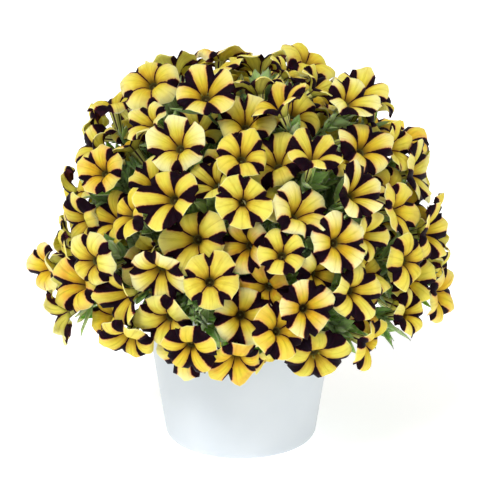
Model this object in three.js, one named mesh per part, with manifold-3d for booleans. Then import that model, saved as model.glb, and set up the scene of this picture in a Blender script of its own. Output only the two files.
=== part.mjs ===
// A pot of petunias: a plain white tapered pot, the compost in it, and the
// flowering stems that fan out of the compost into a round bush of blooms.
// Millimetres, +Z up. The origin is the middle of the pot's flat base, and the
// front of the bush faces -Y. Azimuths count from the front towards +X.

import * as THREE from "three";
import Module from "manifold-3d";

const wasm = await Module();
wasm.setup();

const DEG = Math.PI / 180;
const GOLDEN_TURN = Math.PI * (3 - Math.sqrt(5));
const PLASTIC = 1.324717957244746; // its cube is itself plus 1
const SPREAD_STEPS = [1 / PLASTIC, 1 / PLASTIC ** 2]; // fill a square most evenly

// ---- Pot ----
const POT_HEIGHT = 140;
const POT_RIM_RADIUS = 91;
const POT_TAPER = 8.6 * DEG;
const POT_CORNER = 9; // rounding between the base and the wall
const POT_WALL = 2.6;
const POT_FLOOR = 3.2;
const POT_SIDES = 34;
const POT_LIP_SHARE = 0.3; // of the wall, by which the rim's edges are eased
const POT_CORNER_STEPS = 3;
const DRAIN_HOLES = 5;
const DRAIN_HOLE_RADIUS = 4;
const DRAIN_HOLE_SIDES = 8;
const DRAIN_CIRCLE_RADIUS = 42;

// ---- Compost ----
const SOIL_TOP = 121; // at the wall
const SOIL_CROWN = 4; // the surface rises this much to the middle
const SOIL_RINGS = [0.4, 0.75]; // shares of the radius with a ring of corners
const GAP = 0.35; // clearance between pieces that touch

// ---- Bush: measured from its heart, a point on the pot's axis ----
const HEART_HEIGHT = 150;
const BUSH_RADIUS = 188; // at the level of the heart
const BUSH_RISE = 209; // above the heart
const BUSH_DROP = 50; // below the heart, hanging over the pot's rim
const BUSH_POWER = 2.5; // over 2, the shoulders are fuller than an ellipse's
const UNDERSIDE_POWER = 2; // the same below the heart
const LOWEST = -14 * DEG; // elevation of the hem at the front and the back
const HEM_LIFT = 15 * DEG; // the hem is higher by this at the sides
const FLANK_DIP = 0.11; // the left flank is thinner: this share of the reach is missing
const FLANK = [-88 * DEG, 33 * DEG]; // its middle, as azimuth and elevation
const FLANK_SPREAD = [50 * DEG, 21 * DEG]; // how far it reaches either way

// ---- Stems ----
const STEM_COUNT = 38;
const STEM_SPREAD = 64; // the outermost stems stand this far from the middle
const STEM_DEPTH = 12; // in the compost
const STEM_RADIUS = 2.8;
const STEM_TAPER = 0.15; // share of the radius lost towards the tip
const STEM_SIDES = 3;
const STEM_STEPS = 4;
const TIP_RADIUS = 124; // a stem's tip from the heart, at the heart's level
const TIP_RISE = 142; // the same straight up
const TIP_DROOP = 0.32; // a hem stem's tip drops by this share of the hem's elevation
const COLLAR_RISE = 2; // a stem stands straight to here above the compost
const HEM_TOP = 25 * DEG; // stems below this elevation arch more, the lower the more
const ARCH = 62; // how far the lowest stem arches over the rim
const BEND_OUT = [0.12, 0.5]; // where a stem bends, as a share of the way out, and more at the hem
const BEND_UP = 0.62; // the same as a share of the way up
const NODE_RADIUS = 3.6; // the swelling at a stem's tip, where its stalks part
const STALK_RADIUS = 1.1;
const STALK_LONGEST = 66;
const STALK_BEND = 78 * DEG; // the sharpest bend between a stalk and its bloom's tube

// ---- Blooms ----
const BLOOM_COUNT = 182;
const ROUNDS = 3; // the places tried are at most so many for each bloom
const BLOOM_RADIUS = [23.5, 27.5];
const BLOOM_LENGTH = 32; // from the rim back to the foot of the tube
const BLOOM_TILT = 34 * DEG; // how far a bloom may turn away from straight out
const LOBES = 5;
const NOTCH_SHARE = 0.86; // of the radius, where two lobes meet
const PETAL_THICKNESS = 0.7;
const THROAT_DEPTH = 5;
const WAIST_DEPTH = 10;
const WAIST_RADIUS = 5.2;
const FOOT_RADIUS = 1.9;
const TUBE_SIDES = 3;
const LAYER = 7.5; // the step by which a crowded bloom sits deeper
const LAYERS = 8;
const FIRST_LAYER = 1.5; // a bloom starts at most so many layers deep
const MOST_BLOOMS = 7; // on one stem
const NEAREST = 3; // stems tried for each place
const PLACES = 16; // free places weighed up for each bloom

// ---- Leaves and buds ----
const LEAF_COUNT = 44;
const LEAF_ROUNDS = 8;
const LEAFY_EVERY = 12; // one stem in so many is a shoot with leaves only
const LEAF_LENGTH = [32, 44];
const LEAF_WIDTH_SHARE = 0.46;
const LEAF_THICKNESS = 0.8;
const LEAF_FOLD = 0.12; // depth of the fold along the rib, as a share of the length
const LEAF_TIP_DROP = 0.06; // the same for the tip
const LEAF_LEAN = [15 * DEG, 80 * DEG]; // from straight out of the bush
const LEAF_ROOTS = [0.6, 0.9]; // where leaves part from a stem, from foot 0 to tip 1
const TRIES = 40; // places tried for a leaf or a bud
const BUD_EVERY = 3; // one stem in so many bears a bud
const BUD_LENGTH = 34;
const BUD_TIP_LENGTH = 11;
const BUD_RADIUS = 2.6;
const BUD_SIDES = 4;
const BUD_REACH = [42, 68]; // from the stem's tip to the bud's tip
const BUD_LEAN = 40 * DEG;

const CLEARANCE = 0.6; // kept free around every bloom, leaf, stalk and bud

// The blooms that stand out from the front: where each is, and which way it
// faces, as azimuth and elevation in degrees.
const STANDOUTS = [
  [16.5, 8.7, 8, 14],
  [-19, 64, -5, 42],
  [-62.6, 65, -25, 38],
  [-21.4, 35.3, -24, 24],
  [0.6, 34.8, 2, 20],
  [0.7, 47, 10, 44],
  [26.6, 23.8, 24, 14],
  [35.8, 35, 42, 30],
  [-150, 80, 160, 72],
  [165, 78, 150, 66],
  [110, 72, 60, 60],
  [-78, 7, -62, 4],
  [-60, -2, -78, -26],
  [-45.2, 16.8, -40, 8],
  [-37, 8, -48, -8],
  [75, 0, 66, -8],
  [67, 20, 60, 16],
  [58, 58, 48, 44],
  [-13.5, -2, -16, -22],
  [-23, 3, -30, -14],
  [-1.6, -7, -4, -32],
  [22, -7, 20, -22],
  [31, 11, 32, 4],
  [-97, 44, -96, 8],
  [-92, 27, -90, -4],
];

// ---- Seeded draws: each state is the last one times a root, less whole primes ----
const DRAW_ROOT = 16807;
const DRAW_PRIME = 2 ** 31 - 1;

function drawer(seed) {
  let state = seed;
  return () => {
    state = (state * DRAW_ROOT) % DRAW_PRIME;
    return state / DRAW_PRIME;
  };
}

const between = ([low, high], share) => low + (high - low) * share;
const fraction = (x) => x - Math.floor(x);
const vec = (x, y, z) => new THREE.Vector3(x, y, z);
const along = (point, direction, distance) =>
  point.clone().addScaledVector(direction, distance);

function ray(azimuth, elevation) {
  return vec(
    Math.sin(azimuth) * Math.cos(elevation),
    -Math.cos(azimuth) * Math.cos(elevation),
    Math.sin(elevation),
  );
}

// Any unit vector square to the axis, turned about it by the roll.
function across(axis, roll) {
  const helper = Math.abs(axis.z) < 0.9 ? vec(0, 0, 1) : vec(1, 0, 0);
  return helper.cross(axis).normalize().applyAxisAngle(axis, roll);
}

// ---- Solids from rings of points ----
// Points evenly round the axis, counted anticlockwise as seen from its end.
function ring(centre, axis, start, radii) {
  return radii.map((radius, i) => {
    const turn = (i / radii.length) * 2 * Math.PI;
    return along(centre, start.clone().applyAxisAngle(axis, turn), radius);
  });
}

const evenRing = (centre, axis, start, radius, sides) =>
  ring(centre, axis, start, Array(sides).fill(radius));

// Triangles between two rings, of any two counts.
function stitch(faces, a, b) {
  const at = (ringStart, i) => ringStart.first + (i % ringStart.count);
  const endA = a.count > 1 ? a.count : 0;
  const endB = b.count > 1 ? b.count : 0;
  let i = 0;
  let j = 0;
  while (i < endA || j < endB) {
    const nextA = i < endA ? (i + 1) / endA : 2;
    const nextB = j < endB ? (j + 1) / endB : 2;
    if (nextA <= nextB) {
      faces.push([at(a, i), at(b, j), at(a, i + 1)]);
      i += 1;
    } else {
      faces.push([at(a, i), at(b, j), at(b, j + 1)]);
      j += 1;
    }
  }
}

// The closed surface through the rings in turn. A single point is a ring too,
// and an end ring of more points gets a flat cap.
function loft(rings) {
  const points = rings.flat();
  const faces = [];
  let first = 0;
  const spans = rings.map((points) => {
    const span = { first, count: points.length };
    first += points.length;
    return span;
  });
  spans.slice(1).forEach((span, k) => stitch(faces, spans[k], span));
  const [front, back] = [spans[0], spans.at(-1)];
  for (let i = 2; i < front.count; i += 1)
    faces.push([front.first, front.first + i - 1, front.first + i]);
  for (let i = 2; i < back.count; i += 1)
    faces.push([back.first, back.first + i, back.first + i - 1]);
  return solidOf(points, faces);
}

function solidOf(points, faces) {
  return new wasm.Manifold(
    new wasm.Mesh({
      numProp: 3,
      vertProperties: new Float32Array(points.flatMap((p) => p.toArray())),
      triVerts: new Uint32Array(faces.flat()),
    }),
  );
}

const joined = (solids) => solids.reduce((sum, solid) => sum.add(solid));

// ---- Pot and compost: rings round the upright axis ----
const upright = vec(0, 0, 1);
const forward = vec(1, 0, 0);
const potRadius = (z) => POT_RIM_RADIUS - (POT_HEIGHT - z) * Math.tan(POT_TAPER);

const turned = (profile, sides) =>
  loft(
    profile.map(([radius, z]) =>
      radius
        ? evenRing(vec(0, 0, z), upright, forward, radius, sides)
        : [vec(0, 0, z)],
    ),
  );

// A quarter turn or so of rounding, from the wall's slope down to a flat floor.
function cornerArc(wallRadius, floorZ, radius, steps) {
  const lean = Math.PI / 2 - POT_TAPER;
  const centreZ = floorZ + radius;
  const centreR = wallRadius(centreZ) - radius / Math.sin(lean);
  return Array.from({ length: steps + 1 }, (_, i) => {
    const turn = -POT_TAPER - ((Math.PI / 2 - POT_TAPER) * i) / steps;
    return [centreR + radius * Math.cos(turn), centreZ + radius * Math.sin(turn)];
  });
}

const innerRadius = (z) => potRadius(z) - POT_WALL / Math.cos(POT_TAPER);

function makePot() {
  const inner = cornerArc(innerRadius, POT_FLOOR, POT_CORNER - POT_WALL, 1);
  const outer = cornerArc(potRadius, 0, POT_CORNER, POT_CORNER_STEPS);
  const lip = POT_WALL * POT_LIP_SHARE;
  const body = turned(
    [
      [0, POT_FLOOR],
      ...inner.reverse(),
      [innerRadius(POT_HEIGHT - lip), POT_HEIGHT - lip],
      [innerRadius(POT_HEIGHT) + lip, POT_HEIGHT],
      [potRadius(POT_HEIGHT) - lip, POT_HEIGHT],
      [potRadius(POT_HEIGHT - lip), POT_HEIGHT - lip],
      ...outer,
      [0, 0],
    ],
    POT_SIDES,
  );
  const holes = Array.from({ length: DRAIN_HOLES }, (_, i) => {
    const at = ray((i / DRAIN_HOLES) * 2 * Math.PI, 0).multiplyScalar(DRAIN_CIRCLE_RADIUS);
    const end = (z) =>
      evenRing(vec(at.x, at.y, z), upright, forward, DRAIN_HOLE_RADIUS, DRAIN_HOLE_SIDES);
    return loft([end(POT_FLOOR + 1), end(-1)]);
  });
  return body.subtract(joined(holes));
}

const soilSurface = (radius) =>
  SOIL_TOP + SOIL_CROWN * (1 - (radius / innerRadius(SOIL_TOP)) ** 2);

function makeSoil(stems) {
  const floor = POT_FLOOR + GAP;
  const corner = POT_CORNER - POT_WALL;
  const edge = innerRadius(SOIL_TOP) - GAP;
  const body = turned(
    [
      [0, soilSurface(0)],
      ...SOIL_RINGS.map((share) => [edge * share, soilSurface(edge * share)]),
      [edge, SOIL_TOP],
      ...cornerArc((z) => innerRadius(z) - GAP, floor, corner, 1),
      [0, floor],
    ],
    POT_SIDES,
  );
  const holes = stems.map((stem) => {
    const side = STEM_RADIUS + GAP / Math.cos(Math.PI / STEM_SIDES);
    const end = (z) => stemRing(stem, stem.foot.clone().setZ(z), upright, side);
    return loft([end(SOIL_TOP + 2 * SOIL_CROWN), end(SOIL_TOP - STEM_DEPTH - GAP)]);
  });
  return body.subtract(joined(holes));
}

// ---- The bush's outline ----
const heart = vec(0, 0, HEART_HEIGHT);

function shares(elevation) {
  const low = elevation < 0;
  return {
    power: low ? UNDERSIDE_POWER : BUSH_POWER,
    height: low ? BUSH_DROP : BUSH_RISE,
  };
}

// How much of the flank's dip is felt there, from 1 in its middle to 0.
function flank(azimuth, elevation) {
  const turn = Math.atan2(Math.sin(azimuth - FLANK[0]), Math.cos(azimuth - FLANK[0]));
  const away = (turn / FLANK_SPREAD[0]) ** 2 + ((elevation - FLANK[1]) / FLANK_SPREAD[1]) ** 2;
  return Math.exp(-away);
}

// Distance from the heart to the bush's surface.
function reach(azimuth, elevation) {
  const { power, height } = shares(elevation);
  const level = (Math.cos(elevation) / BUSH_RADIUS) ** power;
  const upward = (Math.abs(Math.sin(elevation)) / height) ** power;
  const even = (level + upward) ** (-1 / power);
  return even * (1 - FLANK_DIP * flank(azimuth, elevation));
}

// Which way a bloom there faces: halfway between the surface's normal and the
// ray from the heart.
function facing(azimuth, elevation) {
  const { power, height } = shares(elevation);
  const distance = reach(azimuth, elevation);
  const level = (distance * Math.cos(elevation)) / BUSH_RADIUS;
  const upward = (distance * Math.abs(Math.sin(elevation))) / height;
  const slope = Math.atan2(
    (Math.sign(elevation) * upward ** (power - 1)) / height,
    level ** (power - 1) / BUSH_RADIUS,
  );
  return ray(azimuth, (slope + elevation) / 2);
}

// Points spread evenly over the bush, in an order whose every beginning is
// even too.
function spreadPoint(k) {
  const azimuth = fraction(0.5 + k * SPREAD_STEPS[0]) * 2 * Math.PI;
  const height = fraction(0.5 + k * SPREAD_STEPS[1]);
  const low = Math.sin(LOWEST + HEM_LIFT * Math.abs(Math.sin(azimuth)));
  return [azimuth, Math.asin(low + (1 - low) * height)];
}

// ---- Stems: each is an arc in an upright plane, from the compost to its tip ----
function stemAt(index) {
  const low = Math.sin(LOWEST);
  const rise = 1 - ((index + 0.5) / STEM_COUNT) * (1 - low);
  const elevation = Math.asin(rise);
  const azimuth = index * GOLDEN_TURN;
  const outward = ray(azimuth, 0);
  const leafy = index % LEAFY_EVERY === LEAFY_EVERY - 1;
  const hem = Math.max(0, Math.min(1, (HEM_TOP - elevation) / (HEM_TOP - LOWEST)));
  const tipElevation = elevation < 0 ? elevation * TIP_DROOP : elevation;
  const level = Math.cos(tipElevation) / TIP_RADIUS;
  const upward = Math.sin(tipElevation) / TIP_RISE;
  const tip = along(heart, ray(azimuth, tipElevation), 1 / Math.hypot(level, upward));
  const footRadius = STEM_SPREAD * Math.sqrt((index + 0.5) / STEM_COUNT);
  const foot = along(vec(0, 0, SOIL_TOP - STEM_DEPTH), outward, footRadius);
  const collarHeight = soilSurface(footRadius) + COLLAR_RISE;
  const collar = along(vec(0, 0, collarHeight), outward, footRadius);
  const bendOut = BEND_OUT[0] + BEND_OUT[1] * hem;
  const bendRadius = footRadius + (Math.hypot(tip.x, tip.y) - footRadius) * bendOut;
  const bendHeight = SOIL_TOP + (tip.z - SOIL_TOP) * BEND_UP + ARCH * hem;
  const bend = along(vec(0, 0, bendHeight), outward, bendRadius);
  const curve = new THREE.QuadraticBezierCurve3(collar, bend, tip);
  const side = upright.clone().cross(outward);
  return { azimuth, elevation, leafy, foot, tip, curve, side, parts: [], stalks: 0 };
}

// A point on the stem's straight stretches, between its foot and its tip.
function onStem(stem, share) {
  const step = Math.min(Math.floor(share * STEM_STEPS), STEM_STEPS - 1);
  const [low, high] = [step, step + 1].map((i) => stem.curve.getPoint(i / STEM_STEPS));
  return low.lerp(high, share * STEM_STEPS - step);
}

function stemRing(stem, centre, tangent, radius) {
  const start = stem.side.clone().cross(tangent).normalize();
  return evenRing(centre, tangent, start, radius, STEM_SIDES);
}

function stemSolid(stem) {
  const rings = [];
  for (let i = STEM_STEPS; i >= 0; i -= 1) {
    const t = i / STEM_STEPS;
    const radius = STEM_RADIUS * (1 - STEM_TAPER * t);
    const tangent = i ? stem.curve.getTangent(t).normalize() : upright;
    rings.push(stemRing(stem, stem.curve.getPoint(t), tangent, radius));
  }
  rings.push(stemRing(stem, stem.foot, upright, STEM_RADIUS));
  return loft(rings).add(nodeSolid(stem));
}

// The swelling at the tip: two points and four between them.
function nodeSolid(stem) {
  const axis = stem.curve.getTangent(1).normalize();
  return loft([
    [along(stem.tip, axis, NODE_RADIUS)],
    evenRing(stem.tip, axis, stem.side, NODE_RADIUS, 4),
    [along(stem.tip, axis, -NODE_RADIUS)],
  ]);
}

// ---- Blooms ----
// From the throat out over the limb, round its rim, and back down the tube.
function bloomRings(bloom, margin) {
  const { centre, axis, start, radius } = bloom;
  const outline = Array.from({ length: 2 * LOBES }, (_, i) =>
    i % 2 ? radius * NOTCH_SHARE + margin : radius + margin,
  );
  const back = outline.filter((_, i) => i % 2 === 0);
  const at = (depth) => along(centre, axis, -depth);
  return [
    [at(THROAT_DEPTH - margin)],
    ring(at(-margin), axis, start, outline),
    ring(at(PETAL_THICKNESS + margin), axis, start, back),
    evenRing(at(WAIST_DEPTH + margin), axis, start, WAIST_RADIUS + margin, TUBE_SIDES),
    evenRing(at(BLOOM_LENGTH), axis, start, FOOT_RADIUS + margin, TUBE_SIDES),
  ];
}

const bloomFoot = (bloom) => along(bloom.centre, bloom.axis, -BLOOM_LENGTH);

// The ring at the root of a stalk, kept from twisting against the ring it left.
function rootRing(root, fromAxis, fromStart, toAxis, radius, sides) {
  const turn = new THREE.Quaternion().setFromUnitVectors(fromAxis, toAxis);
  return evenRing(root, toAxis, fromStart.clone().applyQuaternion(turn), radius, sides);
}

function bloomSolid(bloom) {
  const foot = bloomFoot(bloom);
  const stalkAxis = foot.clone().sub(bloom.root).normalize();
  return loft([
    ...bloomRings(bloom, 0),
    rootRing(bloom.root, bloom.axis, bloom.start, stalkAxis, STALK_RADIUS, TUBE_SIDES),
  ]);
}

function stalkSolid(from, to, margin) {
  const axis = from.clone().sub(to).normalize();
  const start = across(axis, 0);
  const radius = STALK_RADIUS + margin;
  return loft([
    evenRing(from, axis, start, radius, TUBE_SIDES),
    evenRing(to, axis, start, radius, TUBE_SIDES),
  ]);
}

// ---- Leaves: a blade folded along its rib ----
// Root, shoulders, tip and back; then two points on the rib. Each is its share
// of the length, of the half width, and its drop as a share of the length.
const LEAF_POINTS = [
  [0, 0, 0],
  [0.36, 1, 0],
  [0.7, 0.72, 0],
  [1, 0, LEAF_TIP_DROP],
  [0.7, -0.72, 0],
  [0.36, -1, 0],
  [0.14, 0, LEAF_FOLD * 0.6],
  [0.5, 0, LEAF_FOLD],
];
const LEAF_EDGE = [0, 1, 2, 3, 4, 5];
const LEAF_FACES = [
  [0, 1, 6],
  [0, 6, 5],
  ...[6, 1, 2, 3, 4, 5].map((p, i, ring) => [7, p, ring[(i + 1) % ring.length]]),
];

function leafSolid(leaf, margin) {
  const { root, axis, face, length } = leaf;
  const side = axis.clone().cross(face);
  const half = (length * LEAF_WIDTH_SHARE) / 2;
  const blade = (lift) =>
    LEAF_POINTS.map(([share, width, drop]) =>
      along(root, axis, length * share + (share === 1 ? margin : 0))
        .addScaledVector(side, half * width + Math.sign(width) * margin)
        .addScaledVector(face, lift - length * drop),
    );
  const count = LEAF_POINTS.length;
  const faces = [
    ...LEAF_FACES.map(([a, b, c]) => [a, c, b]),
    ...LEAF_FACES.map((corners) => corners.map((p) => p + count)),
    ...LEAF_EDGE.flatMap((p, i) => {
      const q = LEAF_EDGE[(i + 1) % LEAF_EDGE.length];
      return [
        [p, q, q + count],
        [p, q + count, p + count],
      ];
    }),
  ];
  const lift = LEAF_THICKNESS / 2 + margin;
  return solidOf([...blade(-lift), ...blade(lift)], faces);
}

// ---- Buds: a slim spindle on a stalk ----
function budSolid(bud, margin) {
  const { root, axis, start, length } = bud;
  const at = (distance) => along(root, axis, distance);
  return loft([
    [at(length + margin)],
    evenRing(at(length - BUD_TIP_LENGTH), axis, start, BUD_RADIUS + margin, BUD_SIDES),
    evenRing(at(length - BUD_LENGTH), axis, start, STALK_RADIUS + margin, BUD_SIDES),
    evenRing(root, axis, start, STALK_RADIUS + margin, BUD_SIDES),
  ]);
}

// ---- Placing: everything takes the first place where it is clear ----
const taken = []; // { solid, box, stem, part }
const bloomPlaces = []; // where blooms stand, drawn out to the bush's surface

function boxOf(solid) {
  const { min, max } = solid.boundingBox();
  return new THREE.Box3(vec(...min), vec(...max));
}

function take(solid, stem, part) {
  taken.push({ solid, box: boxOf(solid), stem, part });
}

function isClear(solid, mayTouch) {
  const box = boxOf(solid);
  return taken.every(
    (other) =>
      mayTouch(other) ||
      !other.box.intersectsBox(box) ||
      solid.intersect(other.solid).isEmpty(),
  );
}

// The stems that a bloom's foot could grow from, nearest first.
function stemsNear(foot, axis, stems) {
  return stems
    .filter((stem) => !stem.leafy && stem.stalks < MOST_BLOOMS)
    .map((stem) => {
      const stalk = foot.clone().sub(stem.tip);
      return { stem, length: stalk.length(), bend: stalk.angleTo(axis) };
    })
    .filter(({ length, bend }) => length < STALK_LONGEST && bend < STALK_BEND)
    .sort((a, b) => a.length - b.length)
    .slice(0, NEAREST);
}

function placeBloom(stems, azimuth, elevation, axis, radius, roll, first) {
  const start = across(axis, roll);
  for (let layer = first; layer < LAYERS; layer += 1) {
    const distance = reach(azimuth, elevation) - layer * LAYER;
    const centre = along(heart, ray(azimuth, elevation), distance);
    const bloom = { centre, axis, start, radius };
    const corolla = loft(bloomRings(bloom, CLEARANCE));
    if (!isClear(corolla, () => false)) continue;
    const foot = bloomFoot(bloom);
    for (const { stem } of stemsNear(foot, axis, stems)) {
      const stalk = stalkSolid(foot, stem.tip, CLEARANCE);
      const own = (other) => other.stem === stem && other.part !== "bloom";
      if (!isClear(stalk, own)) continue;
      bloom.root = stem.tip;
      stem.stalks += 1;
      stem.parts.push(bloomSolid(bloom));
      bloomPlaces.push(surfacePoint(azimuth, elevation));
      take(loft(bloomRings(bloom, 0)), stem, "bloom");
      take(stalkSolid(foot, stem.tip, 0), stem, "stalk");
      return true;
    }
  }
  return false;
}

const surfacePoint = (azimuth, elevation) =>
  along(heart, ray(azimuth, elevation), reach(azimuth, elevation));

// Of the next few spread points, the one furthest from every bloom so far.
function loneliest(k) {
  const places = Array.from({ length: PLACES }, (_, i) => spreadPoint(k * PLACES + i));
  const room = places.map(([azimuth, elevation]) => {
    const point = surfacePoint(azimuth, elevation);
    return Math.min(...bloomPlaces.map((place) => place.distanceTo(point)));
  });
  return places[room.indexOf(Math.max(...room))];
}

function placeBlooms(stems) {
  const draw = drawer(4711);
  let count = 0;
  for (const [azimuth, elevation, faceAzimuth, faceElevation] of STANDOUTS) {
    const axis = ray(faceAzimuth * DEG, faceElevation * DEG);
    const radius = between(BLOOM_RADIUS, draw());
    const roll = draw() * 2 * Math.PI;
    if (placeBloom(stems, azimuth * DEG, elevation * DEG, axis, radius, roll, 0)) count += 1;
  }
  for (let k = 0; count < BLOOM_COUNT && k < ROUNDS * BLOOM_COUNT; k += 1) {
    const [azimuth, elevation] = loneliest(k);
    const outward = facing(azimuth, elevation);
    const tiltAxis = across(outward, draw() * 2 * Math.PI);
    const axis = outward.applyAxisAngle(tiltAxis, BLOOM_TILT * Math.sqrt(draw()));
    const radius = between(BLOOM_RADIUS, draw());
    const roll = draw() * 2 * Math.PI;
    const first = FIRST_LAYER * draw();
    if (placeBloom(stems, azimuth, elevation, axis, radius, roll, first)) count += 1;
  }
  return count;
}

// A direction that leans from straight out of the bush, to a random side.
function leaning(stem, lean, draw) {
  const outward = facing(stem.azimuth, stem.elevation);
  return outward.clone().applyAxisAngle(across(outward, draw() * 2 * Math.PI), lean);
}

// Tries draws of a leaf or bud until one is clear of all but the parts it may touch.
function growOn(stem, touching, drawPart, solidAt) {
  const mayTouch = (other) => other.stem === stem && touching.includes(other.part);
  for (let tries = 0; tries < TRIES; tries += 1) {
    const part = drawPart(tries / TRIES);
    if (!isClear(solidAt(part, CLEARANCE), mayTouch)) continue;
    const solid = solidAt(part, 0);
    stem.parts.push(solid);
    take(solid, stem, "leaf");
    return 1;
  }
  return 0;
}

function placeLeaves(stems) {
  const draw = drawer(907);
  const drawLeaf = (stem) => (spent) => {
    const root = onStem(stem, between(LEAF_ROOTS, draw()));
    const axis = leaning(stem, between(LEAF_LEAN, draw()), draw);
    const face = across(axis, draw() * 2 * Math.PI);
    const length = between(LEAF_LENGTH, draw() * (1 - spent));
    return { root, axis, face, length };
  };
  let count = 0;
  for (let round = 0; round < LEAF_ROUNDS; round += 1)
    for (const stem of stems.filter((stem, i) => stem.leafy || (i + round) % 2 === 0))
      if (count < LEAF_COUNT) count += growOn(stem, ["stem"], drawLeaf(stem), leafSolid);
}

function placeBuds(stems) {
  const draw = drawer(353);
  const drawBud = (stem) => () => {
    const axis = leaning(stem, BUD_LEAN * draw(), draw);
    const length = between(BUD_REACH, draw());
    return { root: stem.tip, axis, start: across(axis, 0), length };
  };
  for (const stem of stems.filter((_, i) => i % BUD_EVERY === 0))
    growOn(stem, ["stem", "stalk"], drawBud(stem), budSolid);
}

// ---- The scene graph ----
const finish = (color, roughness) =>
  new THREE.MeshStandardMaterial({ color, roughness, metalness: 0 });

function meshOf(name, solid, material) {
  const { vertProperties, triVerts } = solid.getMesh();
  const geometry = new THREE.BufferGeometry();
  geometry.setAttribute("position", new THREE.BufferAttribute(vertProperties, 3));
  geometry.setIndex(new THREE.BufferAttribute(triVerts, 1));
  const mesh = new THREE.Mesh(geometry, material);
  mesh.name = name;
  return mesh;
}

const stems = Array.from({ length: STEM_COUNT }, (_, i) => stemAt(i));
const pot = makePot();
take(pot, null, "pot");
for (const stem of stems) take(stemSolid(stem), stem, "stem");
placeBlooms(stems);
placeLeaves(stems);
placeBuds(stems);

const group = new THREE.Group();
group.add(meshOf("pot", pot, finish(0xe6edf3, 0.42)));
group.add(meshOf("soil", makeSoil(stems), finish(0x2e2219, 0.95)));
stems.forEach((stem, i) => {
  const kind = stem.leafy ? "shoot" : "spray";
  const color = stem.leafy ? 0x3f6b2a : 0xe8d24a;
  const name = `${kind}_${String(i + 1).padStart(2, "0")}`;
  const solid = joined([stemSolid(stem), ...stem.parts]);
  group.add(meshOf(name, solid, finish(color, 0.6)));
});

export default group;
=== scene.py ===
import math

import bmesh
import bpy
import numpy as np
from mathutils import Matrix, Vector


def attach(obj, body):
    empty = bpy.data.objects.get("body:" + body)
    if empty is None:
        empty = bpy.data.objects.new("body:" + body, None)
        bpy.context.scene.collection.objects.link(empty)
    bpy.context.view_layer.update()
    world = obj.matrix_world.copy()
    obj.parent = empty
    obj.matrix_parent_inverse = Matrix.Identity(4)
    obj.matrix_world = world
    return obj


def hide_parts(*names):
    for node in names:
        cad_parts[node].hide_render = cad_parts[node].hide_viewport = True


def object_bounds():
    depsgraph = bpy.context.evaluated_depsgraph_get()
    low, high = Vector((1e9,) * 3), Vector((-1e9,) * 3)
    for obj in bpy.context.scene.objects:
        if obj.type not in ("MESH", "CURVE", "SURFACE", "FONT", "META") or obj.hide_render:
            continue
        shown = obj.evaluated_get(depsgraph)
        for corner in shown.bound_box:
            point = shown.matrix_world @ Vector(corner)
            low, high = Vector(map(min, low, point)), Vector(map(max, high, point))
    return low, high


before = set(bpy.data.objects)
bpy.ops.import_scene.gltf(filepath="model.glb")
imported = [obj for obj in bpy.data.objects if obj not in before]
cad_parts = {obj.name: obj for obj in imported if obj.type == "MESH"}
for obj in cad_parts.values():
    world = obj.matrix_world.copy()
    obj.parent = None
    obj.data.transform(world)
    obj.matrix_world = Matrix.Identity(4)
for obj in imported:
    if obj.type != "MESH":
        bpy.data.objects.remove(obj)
cad_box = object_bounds()

# A pot of petunias: a plain white tapered pot, the compost in it, and a round bush
# of flowering stems. Blooms, leaves and buds stand where the solid part has them,
# as striped petals, calyxes, stalks, veined leaves and pleated buds. Small leaves and a
# few half-hidden blooms fill the places between them.
# Lengths are millimetres until a mesh is made, and azimuths count from the front,
# which faces -Y, towards +X.

MM = 0.001
GOLDEN_TURN = math.pi * (3 - math.sqrt(5))
UP = np.array([0.0, 0.0, 1.0])
BUSH_SEED = 20417
PETAL_SEED = 7
COMPOST_SEED = 311

# ---- Pot and compost ----
POT_HEIGHT = 140
POT_RIM_RADIUS = 91
POT_TAPER = math.radians(8.6)
POT_CORNER = 9
POT_WALL = 2.6
POT_FLOOR = 3.2
POT_SIDES = 160
POT_SHARP_EDGE = math.radians(35)
DRAIN_HOLES = 5
DRAIN_HOLE_RADIUS = 4
DRAIN_HOLE_SIDES = 24
DRAIN_CIRCLE_RADIUS = 42
SOIL_TOP = 121
SOIL_CROWN = 4
SOIL_GAP = 0.35
SOIL_SIDES = 120
SOIL_LUMP = 1.1
SOIL_WAVES = (34, 21, 14, 9, 6.5)

# ---- Stems, as the solid part has them ----
HEART = np.array([0.0, 0.0, 150.0])  # the middle of the bush
LOWEST = math.radians(-14)
HEM = math.radians(25)  # stems whose tips are lower than this arch over the pot's rim
STEM_COUNT = 38
STEM_SPREAD = 64
STEM_DEPTH = 12
STEM_RADIUS = 2.8
STEM_TAPER = 0.15
COLLAR_RISE = 2  # a stem's curve starts this far above the compost
BEND_OUT = 0.12  # and bends at this share of the way out to its tip,
HEM_BEND_OUT = 0.5  # which is so much more for the lowest,
BEND_UP = 0.62  # and at this share of the way up,
ARCH = 62  # to which the lowest add so much
TIP_RADIUS = 124  # from the heart to a stem's tip, on the level
TIP_RISE = 142  # and straight up
TIP_DROOP = 0.32  # share of a downward way out that the lowest tips keep
NODE_RADIUS = 3.6
STALK_RADIUS = 1.1

# ---- Blooms ----
LOBES = 5
LOBE_STEPS = 8
NOTCH_SHARE = 0.86
PETAL_THICKNESS = 0.6
BLOOM_LENGTH = 32
BLOOM_SIZES = (0.88, 1.04)  # shares of the solid bloom's radius
# What each lobe draws of its own.
LOBE_SWELL = (-0.03, 0.11)  # of the outline at the middle of the lobe
LOBE_SHOULDER = (0.0, 0.04)  # the same beside its notches
LOBE_CURL = (-0.5, 0.7)  # extra slope at the rim, in radians
LOBE_FOLD = (0, 1.8)  # the same, seldom much
LOBE_VAULT = (3.2, 8.0)
LOBE_SIDE = (-2.3, 2.3)  # one side of it higher than the other
LOBE_CUFF = (0.2, 1.5)  # its shoulders turned up
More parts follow.
